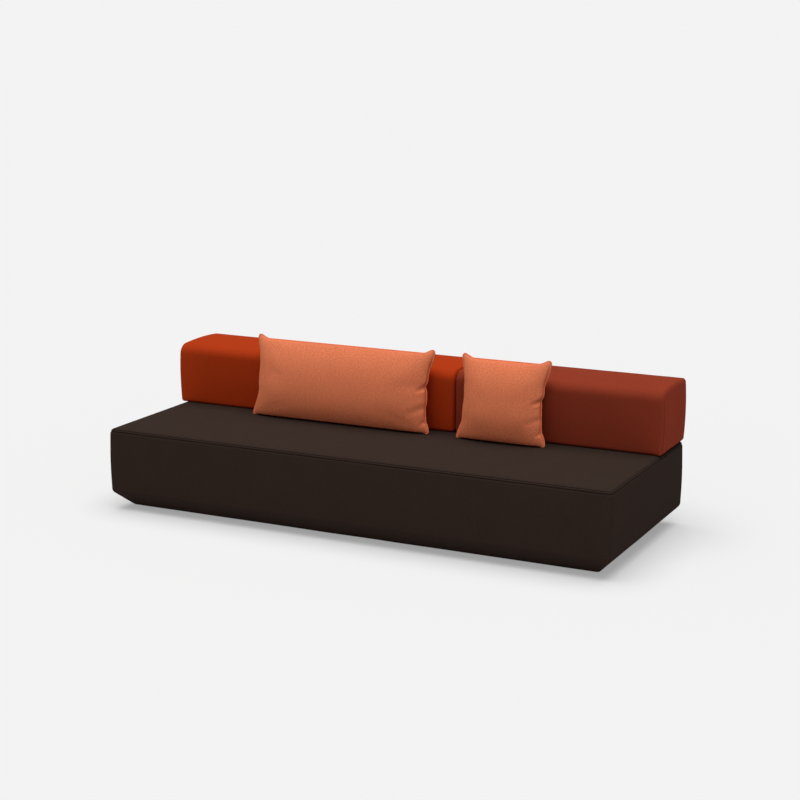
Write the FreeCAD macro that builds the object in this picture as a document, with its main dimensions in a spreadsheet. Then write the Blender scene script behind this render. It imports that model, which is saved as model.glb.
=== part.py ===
import FreeCAD
import Part
import math
import operator
import os
from types import SimpleNamespace

import Sketcher

# A sofa bed: a covered slatted base that is the bed, two back bolsters that plug
# into its rear edge and two loose cushions. Millimetres, X along the length, Y to the back,
# Z up from the floor.

doc = FreeCAD.newDocument("SofaBed")
sheet = doc.addObject("Spreadsheet::Sheet", "Sizes")
nodes = []

ROOT_TWO = math.sqrt(2)
HALF_BEND = math.tan(math.radians(22.5))  # tangent length of a 45 degree bend of radius 1
UP = FreeCAD.Vector(0, 0, 1)


class Size:
    """A measure that carries its number and the sheet formula behind it."""

    def __init__(self, formula, number):
        self.formula = formula
        self.number = number

    def __neg__(self):
        return 0 - self


def formula(value):
    return value.formula if isinstance(value, Size) else repr(value)


def number(value):
    return value.number if isinstance(value, Size) else value


def add_operator(name, sign, action):
    """Let sizes take part in one arithmetic operation, on either side of it."""

    def combine(left, right):
        return Size(f"({formula(left)} {sign} {formula(right)})", action(number(left), number(right)))

    def combine_turned(right, left):
        return combine(left, right)

    setattr(Size, f"__{name}__", combine)
    setattr(Size, f"__r{name}__", combine_turned)


add_operator("add", "+", operator.add)
add_operator("sub", "-", operator.sub)
add_operator("mul", "*", operator.mul)
add_operator("truediv", "/", operator.truediv)


def write_sheet(**values):
    """Fill the sheet, one named cell to each driving dimension."""
    for row, (alias, value) in enumerate(values.items(), start=1):
        sheet.set(f"A{row}", alias)
        sheet.set(f"B{row}", str(value))
        sheet.setAlias(f"B{row}", alias)
    doc.recompute()
    return SimpleNamespace(**{alias: Size(f"Sizes.{alias}", value) for alias, value in values.items()})


size = write_sheet(
    # covered base
    base_length=2400,
    base_depth=944,
    base_height=368,
    undercut=75,
    corner_round=12,
    knee_round=12,
    hem_round=6,
    hem_width=45,
    welt_radius=4.5,
    fabric=1.6,
    soft_gap=0.3,
    padding=8,
    # timber frame
    rail_thickness=24,
    plinth_thickness=15,
    batten_width=70,
    batten_thickness=18,
    rib_thickness=18,
    rib_window_length=220,
    rib_window_height=62,
    rib_window_cut=20,
    corner_leg=90,
    # slatted bed
    ledge_width=70,
    ledge_height=32,
    slat_width=65,
    slat_thickness=10,
    slat_bow=9,
    cap_length=34,
    cap_wall=3,
    cap_play=2,
    fit_gap=0.3,
    mattress_thickness=140,
    topper_thickness=12,
    # underside
    glide_height=13,
    glide_radius=25,
    glide_chamfer=3,
    glide_margin=4,
    tape_width=25,
    tape_margin=3,
    tape_thickness=1.4,
    dust_thickness=1,
    # steel tongues under the bolsters and what they slide into
    tongue_width=60,
    tongue_thickness=6,
    tongue_length=120,
    tongue_chamfer=10,
    tongue_inset=220,
    tongue_plate_length=100,
    tongue_plate_width=30,
    tongue_plate_thickness=5,
    slide_gap=0.5,
    press_gap=0.15,
    socket_zone=34,
    socket_wall=2,
    socket_floor=6,
    slot_frame=8,
    # back bolsters
    right_back_length=960,
    back_gap=4,
    back_depth=326,
    back_height=289,
    back_setback=5,
    back_top_round=48,
    back_edge_round=18,
    back_end_round=14,
    back_end_crown=10,
    back_top_crown=6,
    back_frame_inset=30,
    back_board=15,
    back_upright=12,
    back_upright_drop=70,
    gusset_leg=130,
    gusset_thickness=18,
    # zips of the bolster covers
    zip_height=70,
    zip_inset=90,
    zip_tape_width=24,
    zip_tape=0.8,
    zip_chain_width=6,
    zip_chain=1.2,
    slider_length=14,
    slider_wall=2.4,
    slider_tab_length=28,
    slider_tab_width=8,
    slider_tab=1.6,
    # loose cushions
    cushion_height=380,
    cushion_front=66,
    cushion_back=40,
    cushion_tilt=10.6,
    long_cushion_width=906,
    long_cushion_x=-305,
    square_cushion_width=420,
    square_cushion_x=494,
    cushion_reach=150,
    crown_flat=30,
    side_draw=15,
    bottom_draw=5,
    ear_length=110,
    cover_seam=22,
)
SLAT_COUNT = 18
WELT_SIDES = 8
RIB_COUNT = 3
GUSSET_COUNT = 3
CUSHION_STEPS = (0, 0.08, 0.22, 0.42, 0.68, 1)  # from a cushion's end to its full crown
HEM_TURNS = (0, 22.5, 45)  # degrees round a bend, from straight down
KNEE_TURNS = (45, 67.5, 90)
END_TURNS = (0, 30, 60, 90)  # degrees round a bolster's end, from its side
INNER_END_TURNS = (0, 90)

# Levels and planes that several pieces share
half_length = size.base_length / 2
half_depth = size.base_depth / 2
hem_level = size.glide_height
seat_level = hem_level + size.base_height
frame_level = hem_level + size.fabric + size.tape_thickness
padding_inset = size.fabric + size.soft_gap
frame_inset = padding_inset + size.padding
plinth_inset = frame_inset + size.plinth_thickness
frame_x = half_length - frame_inset
frame_y = half_depth - frame_inset
inner_x = frame_x - size.rail_thickness
inner_y = frame_y - size.rail_thickness
welt_inset = 2 * size.welt_radius + size.soft_gap
band_top = seat_level - 2 * size.welt_radius
topper_level = seat_level - padding_inset - size.topper_thickness
deck_level = topper_level - size.mattress_thickness
slat_end_top = deck_level - size.soft_gap - size.slat_bow
slat_end_foot = slat_end_top - size.slat_thickness
ledge_level = slat_end_foot - size.fit_gap - size.cap_wall
ledge_foot = ledge_level - size.ledge_height
rib_foot = frame_level + size.batten_thickness
opening_x = half_length - size.undercut - size.hem_width
opening_y = half_depth - size.undercut - size.hem_width
block_level = seat_level + size.soft_gap
back_plane = half_depth - size.back_setback
back_front = back_plane - size.back_depth
left_span = (-half_length, half_length - size.right_back_length - size.back_gap)
right_span = (half_length - size.right_back_length, half_length)
tongue_y = inner_y - size.socket_zone / 2
tongue_half = (size.tongue_width / 2, size.tongue_thickness / 2)
socket_grow = size.slide_gap + size.socket_wall
tongue_places = [
    (place, tongue_y)
    for low, high in (left_span, right_span)
    for place in (low + size.tongue_inset, high - size.tongue_inset)
]


def knee_level(inset):
    """Height of the bend between an upright side and its undercut, at an inset from the cover."""
    return hem_level + size.undercut + inset * (ROOT_TWO - 1)


def undercut_back(inset, level):
    """Distance in from the base's upright side to the slanted face of the undercut at one height."""
    return size.undercut - (level - hem_level) + inset * ROOT_TWO


rail_foot = knee_level(frame_inset)
batten_x = half_length - undercut_back(plinth_inset, frame_level)
batten_y = half_depth - undercut_back(plinth_inset, frame_level)


# Drawing and feature helpers

def tie(thing, place, value):
    """Bind one property to a size."""
    thing.setExpression(place, formula(value))


def keep(thing, label):
    """Name a finished piece, which is written out under that name."""
    thing.Label = label
    nodes.append(thing)
    return thing


def new_body(name):
    return doc.addObject("PartDesign::Body", name)


def sketch_on(body, role, offset=0):
    """A sketch on one of the body's own planes, moved along the plane's normal."""
    sketch = body.newObject("Sketcher::SketchObject", f"{body.Name}_outline")
    plane = next(item for item in body.Origin.OriginFeatures if item.Role == role)
    sketch.AttachmentSupport = [(plane, "")]
    sketch.MapMode = "FlatFace"
    tie(sketch, "AttachmentOffset.Base.z", offset)
    return sketch


def hold(sketch, kind, value, *points):
    """Dimension a sketch by a size."""
    index = sketch.addConstraint(Sketcher.Constraint(kind, *points, number(value)))
    tie(sketch, f"Constraints[{index}]", value)


def hold_point(sketch, edge, end, x, y):
    hold(sketch, "DistanceX", x, -1, 1, edge, end)
    hold(sketch, "DistanceY", y, -1, 1, edge, end)


def draw(sketch, corners):
    """Closed outline, counterclockwise, through corners (x, y) or (x, y, rise).

    The rise is the outward bulge of the side that starts at that corner.
    """
    sides = []
    for here, there in zip(corners, corners[1:] + corners[:1]):
        start = FreeCAD.Vector(number(here[0]), number(here[1]), 0)
        stop = FreeCAD.Vector(number(there[0]), number(there[1]), 0)
        rise = here[2] if len(here) > 2 else 0
        if number(rise) == 0:
            edge = sketch.addGeometry(Part.LineSegment(start, stop))
        else:
            along = (stop - start).normalize()
            middle = (start + stop) / 2 + FreeCAD.Vector(along.y, -along.x, 0) * number(rise)
            edge = sketch.addGeometry(Part.Arc(start, middle, stop))
            bulge = rise if number(rise) > 0 else -rise
            run = there[0] - here[0]
            climb = there[1] - here[1]
            hold(sketch, "Radius", (run * run + climb * climb) / (8 * bulge) + bulge / 2, edge)
        first = 1 if sketch.getPoint(edge, 1).distanceToPoint(start) < 1e-6 else 2
        sides.append((edge, first, 3 - first))
    for here, side, following in zip(corners, sides, sides[1:] + sides[:1]):
        hold_point(sketch, side[0], side[1], here[0], here[1])
        meeting = Sketcher.Constraint("Coincident", side[0], side[2], following[0], following[1])
        sketch.addConstraint(meeting)
    return sketch


def rectangle(sketch, half_x, half_y, radius=None, middle=(0, 0)):
    """Rectangle about a middle point, its corners rounded where a radius is given."""
    left = middle[0] - half_x
    right = middle[0] + half_x
    low = middle[1] - half_y
    high = middle[1] + half_y
    if radius is None:
        return draw(sketch, [(left, low), (right, low), (right, high), (left, high)])
    rise = radius * (1 - 1 / ROOT_TWO)
    return draw(
        sketch,
        [
            (left + radius, low),
            (right - radius, low, rise),
            (right, low + radius),
            (right, high - radius, rise),
            (right - radius, high),
            (left + radius, high, rise),
            (left, high - radius),
            (left, low + radius, rise),
        ],
    )


def slots(sketch, grow, middles):
    """Rectangles round the steel tongues, larger than them by a gap all round."""
    for middle in middles:
        rectangle(sketch, tongue_half[0] + grow, tongue_half[1] + grow, middle=middle)
    return sketch


def pad(body, sketch, length, side="One side", reverse=False):
    feature = body.newObject("PartDesign::Pad", f"{body.Name}_pad")
    feature.Profile = sketch
    feature.SideType = side
    feature.Reversed = reverse
    tie(feature, "Length", length)
    return feature


def pocket(body, sketch, depth=None, reverse=False):
    """Cut to a depth, or right through both ways where none is given."""
    feature = body.newObject("PartDesign::Pocket", f"{body.Name}_pocket")
    feature.Profile = sketch
    feature.Reversed = reverse
    if depth is None:
        feature.Type = "ThroughAll"
        feature.SideType = "Symmetric"
    else:
        tie(feature, "Length", depth)
    return feature


def revolve(body, sketch):
    feature = body.newObject("PartDesign::Revolution", f"{body.Name}_turn")
    feature.Profile = sketch
    feature.ReferenceAxis = (sketch, ["V_Axis"])
    feature.Angle = 360
    return feature


def loft(body, sections, ruled):
    feature = body.newObject("PartDesign::AdditiveLoft", f"{body.Name}_loft")
    feature.Profile = sections[0]
    feature.Sections = sections[1:]
    feature.Ruled = ruled
    return feature


def place(thing, x=0, y=0, z=0, turn=0):
    """Put a piece at a point, turned about the upright axis."""
    thing.Placement = FreeCAD.Placement(FreeCAD.Vector(), FreeCAD.Rotation(UP, turn))
    for axis, value in zip("xyz", (x, y, z)):
        tie(thing, f"Placement.Base.{axis}", value)
    return thing


def board(name, x, y, z):
    """Straight board between three pairs of planes."""
    box = doc.addObject("Part::Box", name)
    for side, (low, high) in zip(("Length", "Width", "Height"), (x, y, z)):
        tie(box, side, high - low)
    return place(box, x[0], y[0], z[0])


def cut(name, base, tool):
    feature = doc.addObject("Part::Cut", name)
    feature.Base = base
    feature.Tool = tool
    return feature


def fuse(name, shapes):
    feature = doc.addObject("Part::MultiFuse", name)
    feature.Shapes = shapes
    return feature


def group(name, pieces):
    feature = doc.addObject("Part::Compound", name)
    feature.Links = pieces
    return feature


def copies(name, master, places):
    """Group of like pieces: one link to the master at each place (x, y, z, turn)."""
    links = []
    for where in places:
        link = doc.addObject("App::Link", f"{name}_copy")
        link.LinkedObject = master
        links.append(place(link, *where))
    return group(name, links)


# Timber frame of the base

def build_rails():
    rise = (rail_foot, deck_level)
    keep(board("front_rail", (-frame_x, frame_x), (-frame_y, -inner_y), rise), "front_rail")
    keep(board("back_rail", (-frame_x, frame_x), (inner_y, frame_y), rise), "back_rail")
    keep(board("left_end_rail", (-frame_x, -inner_x), (-inner_y, inner_y), rise), "left_end_rail")
    keep(board("right_end_rail", (inner_x, frame_x), (-inner_y, inner_y), rise), "right_end_rail")


def build_plinth(label, half_run, half_across, turn):
    """Slanted board under one side, mitred at both ends to its neighbours."""
    body = new_body(label)
    outline = [
        (undercut_back(frame_inset, frame_level) - half_across, frame_level),
        (undercut_back(plinth_inset, frame_level) - half_across, frame_level),
        (undercut_back(plinth_inset, rail_foot) - half_across, rail_foot),
        (undercut_back(frame_inset, rail_foot) - half_across, rail_foot),
    ]
    pad(body, draw(sketch_on(body, "YZ_Plane"), outline), 2 * half_run, "Symmetric")
    reach = size.undercut + 2 * plinth_inset
    mitres = sketch_on(body, "XY_Plane")
    deep = reach - half_across
    draw(mitres, [(half_run, -half_across), (half_run, deep), (half_run - reach, deep)])
    draw(mitres, [(-half_run, -half_across), (reach - half_run, deep), (-half_run, deep)])
    pocket(body, mitres)
    keep(place(body, turn=turn), label)


def build_battens():
    rise = (frame_level, rib_foot)
    inside_x = batten_x - size.batten_width
    inside_y = batten_y - size.batten_width
    keep(board("front_batten", (-batten_x, batten_x), (-batten_y, -inside_y), rise), "front_batten")
    keep(board("back_batten", (-batten_x, batten_x), (inside_y, batten_y), rise), "back_batten")
    keep(board("left_batten", (-batten_x, -inside_x), (-inside_y, inside_y), rise), "left_batten")
    keep(board("right_batten", (inside_x, batten_x), (-inside_y, inside_y), rise), "right_batten")


def build_rib(index):
    """Plywood rib across the frame, cut to the plinths' slope and pierced by two windows."""
    label = f"cross_rib_{index}"
    body = new_body(label)
    foot_y = half_depth - undercut_back(plinth_inset, rib_foot)
    shoulder = hem_level + size.undercut + plinth_inset * ROOT_TWO - frame_inset - size.rail_thickness
    outline = [
        (-foot_y, rib_foot),
        (foot_y, rib_foot),
        (inner_y, shoulder),
        (inner_y, ledge_foot),
        (-inner_y, ledge_foot),
        (-inner_y, shoulder),
    ]
    pad(body, draw(sketch_on(body, "YZ_Plane"), outline), size.rib_thickness, "Symmetric")
    windows = sketch_on(body, "YZ_Plane")
    low = (rib_foot + ledge_foot - size.rib_window_height) / 2
    high = low + size.rib_window_height
    corner = size.rib_window_cut
    for middle in (-inner_y / 2, inner_y / 2):
        left = middle - size.rib_window_length / 2
        right = middle + size.rib_window_length / 2
        bottom = [(left, low + corner), (left + corner, low), (right - corner, low), (right, low + corner)]
        top = [(right, high - corner), (right - corner, high), (left + corner, high), (left, high - corner)]
        draw(windows, bottom + top)
    pocket(body, windows)
    keep(place(body, x=inner_x * (2 * index / (RIB_COUNT + 1) - 1)), label)


def build_corner_blocks():
    body = new_body("corner_block")
    leg = size.corner_leg
    outline = draw(sketch_on(body, "XY_Plane", rail_foot), [(0, 0), (-leg, 0), (0, -leg)])
    pad(body, outline, ledge_foot - rail_foot)
    corners = ((1, 1, 0), (-1, 1, 90), (-1, -1, 180), (1, -1, 270))
    places = [(side * inner_x, end * inner_y, 0, turn) for side, end, turn in corners]
    keep(copies("corner_blocks", body, places), "corner_blocks")


# Slatted bed, mattress and the sockets that stand in them

def build_ledges():
    across = (-inner_y, size.ledge_width - inner_y)
    front = board("front_slat_ledge", (-inner_x, inner_x), across, (ledge_foot, ledge_level))
    keep(front, "front_slat_ledge")
    back = new_body("back_slat_ledge")
    outline = sketch_on(back, "XY_Plane", ledge_foot)
    rectangle(outline, inner_x, size.ledge_width / 2, middle=(0, inner_y - size.ledge_width / 2))
    pad(back, outline, size.ledge_height)
    seat = slots(sketch_on(back, "XY_Plane", ledge_level), socket_grow + size.press_gap, tongue_places)
    pocket(back, seat, size.ledge_height - size.socket_floor)
    keep(back, "back_slat_ledge")


def build_slats():
    """Bowed slats, each with a rubber cap on either end that sits on a ledge."""
    spacing = [inner_x * ((2 * index + 1) / SLAT_COUNT - 1) for index in range(SLAT_COUNT)]
    cap_end = inner_y - size.socket_zone
    slat_end = cap_end - size.cap_wall - size.fit_gap
    slat = new_body("slat")
    outline = [
        (-slat_end, slat_end_foot, -size.slat_bow),
        (slat_end, slat_end_foot),
        (slat_end, slat_end_top, size.slat_bow),
        (-slat_end, slat_end_top),
    ]
    pad(slat, draw(sketch_on(slat, "YZ_Plane"), outline), size.slat_width, "Symmetric")
    keep(copies("bed_slats", slat, [(x, 0, 0, 0) for x in spacing]), "bed_slats")

    cap = new_body("slat_cap")
    pocket_half = size.slat_width / 2 + size.fit_gap
    pocket_rise = (size.slat_thickness + size.cap_play) / 2
    middle = (0, ledge_level + size.cap_wall + pocket_rise)
    sleeve = sketch_on(cap, "XZ_Plane", -cap_end)
    rectangle(sleeve, pocket_half + size.cap_wall, pocket_rise + size.cap_wall, middle=middle)
    pad(cap, sleeve, size.cap_length)
    mouth = sketch_on(cap, "XZ_Plane", size.cap_length - cap_end)
    rectangle(mouth, pocket_half, pocket_rise, middle=middle)
    pocket(cap, mouth, size.cap_length - size.cap_wall)
    keep(copies("slat_caps", cap, [(x, 0, 0, turn) for x in spacing for turn in (0, 180)]), "slat_caps")


def pierced_slab(label, inset, foot, thickness, grow):
    """Flat layer of the bed, slotted over each socket."""
    body = new_body(label)
    outline = sketch_on(body, "XY_Plane", foot)
    rectangle(outline, half_length - inset, half_depth - inset, size.corner_round - inset)
    pad(body, outline, thickness)
    pocket(body, slots(sketch_on(body, "XY_Plane", foot), grow, tongue_places))
    return keep(body, label)


def build_bedding():
    room = socket_grow + size.fit_gap
    pierced_slab("mattress_core", padding_inset, deck_level, size.mattress_thickness, room)
    pierced_slab("mattress_pad", welt_inset, topper_level, size.topper_thickness, room)


def build_sleeve(label, name, foot, top, grow):
    """Rectangular sleeves round the tongues' ways, one to each tongue."""
    body = new_body(name)
    ring = sketch_on(body, "XY_Plane", foot)
    slots(ring, grow, [(0, 0)])
    slots(ring, size.slide_gap, [(0, 0)])
    pad(body, ring, top - foot)
    keep(copies(label, body, [(x, y, 0, 0) for x, y in tongue_places]), label)


def build_sockets():
    """Steel sleeves that stand in the back ledge, and the slot frames flush in the top panel."""
    panel_foot = seat_level - size.fabric
    socket_foot = ledge_foot + size.socket_floor
    build_sleeve("tongue_sockets", "socket", socket_foot, panel_foot - size.soft_gap, socket_grow)
    build_sleeve("slot_frames", "slot_frame", panel_foot, seat_level, size.slide_gap + size.slot_frame)


# Cover and padding of the base

def bend(level, back, radius, angles):
    """Sections (level, distance in from the side) round a bend, by the angle from straight down."""
    turns = [math.radians(angle) for angle in angles]
    return [(level - radius * math.cos(turn), back - radius * math.sin(turn)) for turn in turns]


def undercut_block(name, inset, sections, top, radius=None):
    """The base's outer form at an inset from its cover: upright sides over a 45 degree undercut."""
    body = new_body(name)
    outlines = [
        rectangle(sketch_on(body, "XY_Plane", level), half_length - back, half_depth - back, radius)
        for level, back in sections + [(top, inset)]
    ]
    loft(body, outlines, ruled=True)
    return body


def rounded_block(name, inset, first, top):
    """Undercut block with a rounded knee and rounded upright corners."""
    knee_round = size.knee_round - inset
    middle = knee_level(inset) + knee_round * HALF_BEND
    knee = bend(middle, inset + knee_round, knee_round, KNEE_TURNS)
    return undercut_block(name, inset, first + knee, top, size.corner_round - inset)


def build_base_cover():
    """Sewn side band with its hem, the top panel and the rolled edge between them."""
    turn_back = size.undercut + size.hem_round * HALF_BEND
    hem = bend(hem_level + size.hem_round, turn_back, size.hem_round, HEM_TURNS)
    outer = rounded_block("band_outside", 0, hem, band_top)
    lining = hem_level + size.fabric
    foot = [(lining, undercut_back(size.fabric, lining))]
    inner = rounded_block("band_inside", size.fabric, foot, seat_level)
    opening = board("hem_opening", (-opening_x, opening_x), (-opening_y, opening_y), (0, frame_level))
    keep(cut("base_band", outer, fuse("band_room", [inner, opening])), "base_band")

    frame_room = size.slide_gap + size.slot_frame + size.press_gap
    pierced_slab("seat_top_panel", welt_inset, seat_level - size.fabric, size.fabric, frame_room)

    welt = new_body("seat_welt")
    level = seat_level - size.welt_radius
    path_x = half_length - size.welt_radius
    path_y = half_depth - size.welt_radius
    path_round = size.corner_round - size.welt_radius
    path = rectangle(sketch_on(welt, "XY_Plane", level), path_x, path_y, path_round)
    tip = size.welt_radius / math.cos(math.pi / WELT_SIDES)
    turns = [math.pi * (2 * index + 1) / WELT_SIDES for index in range(WELT_SIDES)]
    roll = [(tip * math.cos(turn) - path_y, tip * math.sin(turn) + level) for turn in turns]
    section = draw(sketch_on(welt, "YZ_Plane", path_round - path_x), roll)
    pipe = welt.newObject("PartDesign::AdditivePipe", "welt_pipe")
    pipe.Profile = section
    pipe.Spine = (path, [])
    keep(welt, "seat_welt")


def build_padding():
    foot = [(frame_level, undercut_back(padding_inset, frame_level))]
    outer = rounded_block("padding_outside", padding_inset, foot, deck_level)
    side = [(hem_level, undercut_back(frame_inset, hem_level)), (rail_foot, frame_inset)]
    inner = undercut_block("padding_inside", frame_inset, side, seat_level)
    keep(cut("frame_padding", outer, inner), "frame_padding")


def build_underside():
    """Dust cover, hook-and-loop tapes that hold the hem, and the glides."""
    dust_level = frame_level - size.dust_thickness
    across = (-opening_x, opening_x)
    along = (-opening_y, opening_y)
    keep(board("dust_cover", across, along, (dust_level, frame_level)), "dust_cover")

    rise = (hem_level + size.fabric, frame_level)
    near_x = opening_x + size.tape_margin
    near_y = opening_y + size.tape_margin
    far_x = near_x + size.tape_width
    far_y = near_y + size.tape_width
    tapes = [
        board("front_tape", across, (-far_y, -near_y), rise),
        board("back_tape", across, (near_y, far_y), rise),
        board("left_tape", (-far_x, -near_x), along, rise),
        board("right_tape", (near_x, far_x), along, rise),
    ]
    keep(group("hem_tapes", tapes), "hem_tapes")

    glide = new_body("glide")
    rim = size.glide_radius - size.glide_chamfer
    outline = [
        (0, 0),
        (rim, 0),
        (size.glide_radius, size.glide_chamfer),
        (size.glide_radius, dust_level),
        (0, dust_level),
    ]
    revolve(glide, draw(sketch_on(glide, "XZ_Plane"), outline))
    stand_x = opening_x - size.glide_radius - size.glide_margin
    stand_y = opening_y - size.glide_radius - size.glide_margin
    places = [(column * stand_x, row * stand_y, 0, 0) for column in (-1, 0, 1) for row in (-1, 1)]
    keep(copies("floor_glides", glide, places), "floor_glides")


# Back bolsters

def bolster_profile(sketch, inset):
    """Side view of a bolster: flat foot, crowned top, every corner rounded and tangent."""
    depth = size.back_depth
    edge = size.back_edge_round
    crown = depth * depth / (8 * size.back_top_crown) + size.back_top_crown / 2
    top = size.back_height
    wide, tall, corner, brow, arch = (number(v) for v in (depth, top, edge, size.back_top_round, crown))

    def line(x0, y0, x1, y1):
        return sketch.addGeometry(Part.LineSegment(FreeCAD.Vector(x0, y0, 0), FreeCAD.Vector(x1, y1, 0)))

    def arc(x, y, radius, start, stop):
        circle = Part.Circle(FreeCAD.Vector(x, y, 0), UP, radius)
        return sketch.addGeometry(Part.ArcOfCircle(circle, start, stop))

    gap = number(inset)
    spread = math.asin((wide / 2 - brow) / arch)
    right_angle = math.pi / 2
    foot = line(corner, gap, wide - corner, gap)
    foot_back = arc(wide - corner, corner, corner - gap, -right_angle, 0)
    back = line(wide - gap, corner, wide - gap, tall - corner)
    back_top = arc(wide - corner, tall - corner, corner - gap, 0, right_angle)
    crest = arc(wide / 2, tall - arch, arch - gap, right_angle - spread, right_angle + spread)
    front_top = arc(brow, tall - brow, brow - gap, right_angle, 2 * right_angle)
    front = line(gap, tall - brow, gap, corner)
    foot_front = arc(corner, corner, corner - gap, 2 * right_angle, 3 * right_angle)
    around = [foot, foot_back, back, back_top, crest, front_top, front, foot_front]
    for here, there in zip(around, around[1:] + around[:1]):
        sketch.addConstraint(Sketcher.Constraint("Tangent", here, 2, there, 1))
    sketch.addConstraint(Sketcher.Constraint("Horizontal", foot))
    sketch.addConstraint(Sketcher.Constraint("Vertical", back))
    sketch.addConstraint(Sketcher.Constraint("Vertical", front))
    hold(sketch, "DistanceY", inset, -1, 1, foot, 1)
    hold(sketch, "DistanceX", depth - inset, -1, 1, back, 1)
    hold(sketch, "DistanceX", inset, -1, 1, front, 1)
    for corner_arc in (foot_back, back_top, foot_front):
        hold(sketch, "Radius", edge - inset, corner_arc)
    hold(sketch, "Radius", size.back_top_round - inset, front_top)
    hold(sketch, "Radius", crown - inset, crest)
    hold_point(sketch, crest, 3, depth / 2, top - crown)
    return sketch


def bolster_block(name, span, crowns, inset, turns, holes=None):
    """Bolster form at an inset from its cover: its profile drawn in round either end."""
    body = new_body(name)
    half = (span[1] - span[0]) / 2
    end_round = size.back_end_round - inset
    stations = []
    for side, crown in zip((-1, 1), crowns):
        for turn in (math.radians(angle) for angle in turns):
            reach = half - size.back_end_round + (end_round + crown) * math.sin(turn)
            stations.append((side * reach, inset + end_round * (1 - math.cos(turn))))
    stations.sort(key=lambda station: number(station[0]))
    profiles = [bolster_profile(sketch_on(body, "YZ_Plane", x), drawn_in) for x, drawn_in in stations]
    loft(body, profiles, ruled=True)
    if holes is not None:
        reach = half - size.tongue_inset
        ways = [(-reach, tongue_y - back_front), (reach, tongue_y - back_front)]
        pocket(body, slots(sketch_on(body, "XY_Plane"), holes, ways), size.back_edge_round, reverse=True)
    return place(body, (span[0] + span[1]) / 2, back_front, block_level)


def build_tongue():
    """Flat steel tongue welded to the plate that is let into a bolster's base board."""
    body = new_body("bolster_tongue")
    half_plate = (size.tongue_plate_length / 2, size.tongue_plate_width / 2)
    plate = rectangle(sketch_on(body, "XY_Plane"), *half_plate)
    pad(body, plate, size.tongue_plate_thickness)
    wide = tongue_half[0]
    narrow = wide - size.tongue_chamfer
    neck = size.tongue_chamfer - size.tongue_length
    tip = -size.tongue_length
    blade = [(-wide, 0), (-wide, neck), (-narrow, tip), (narrow, tip), (wide, neck), (wide, 0)]
    pad(body, draw(sketch_on(body, "XZ_Plane"), blade), size.tongue_thickness, "Symmetric")
    return body


def build_zip(side, span):
    """Zip low on the back of the cover, and the slider that runs on it."""
    middle = (span[0] + span[1]) / 2
    level = block_level + size.zip_height
    tape = size.zip_tape_width / 2
    chain = size.zip_chain_width / 2
    crest = size.zip_tape + size.zip_chain
    strip = new_body(f"{side}_back_zip")
    section = [
        (0, -tape),
        (size.zip_tape, -tape),
        (size.zip_tape, -chain),
        (crest, -chain),
        (crest, chain),
        (size.zip_tape, chain),
        (size.zip_tape, tape),
        (0, tape),
    ]
    length = span[1] - span[0] - 2 * size.zip_inset
    pad(strip, draw(sketch_on(strip, "YZ_Plane"), section), length, "Symmetric")
    keep(place(strip, middle, back_plane, level), f"{side}_back_zip")

    slider = new_body(f"{side}_zip_slider")
    foot = size.zip_tape + size.fit_gap
    throat = chain + size.fit_gap
    roof = crest + size.fit_gap
    outside = throat + size.slider_wall
    section = [
        (foot, -outside),
        (roof + size.slider_wall / 2, -outside),
        (roof + size.slider_wall / 2, outside),
        (foot, outside),
        (foot, throat),
        (roof, throat),
        (roof, -throat),
        (foot, -throat),
    ]
    pad(slider, draw(sketch_on(slider, "YZ_Plane"), section), size.slider_length, "Symmetric")
    tab = sketch_on(slider, "XZ_Plane", -foot)
    half_tab = size.slider_tab_length / 2
    rectangle(tab, size.slider_tab_width / 2, half_tab, middle=(0, -throat - half_tab))
    pad(slider, tab, size.slider_tab, reverse=True)
    start = span[0] + size.zip_inset + size.slider_length
    keep(place(slider, start, back_plane, level), f"{side}_zip_slider")


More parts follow.
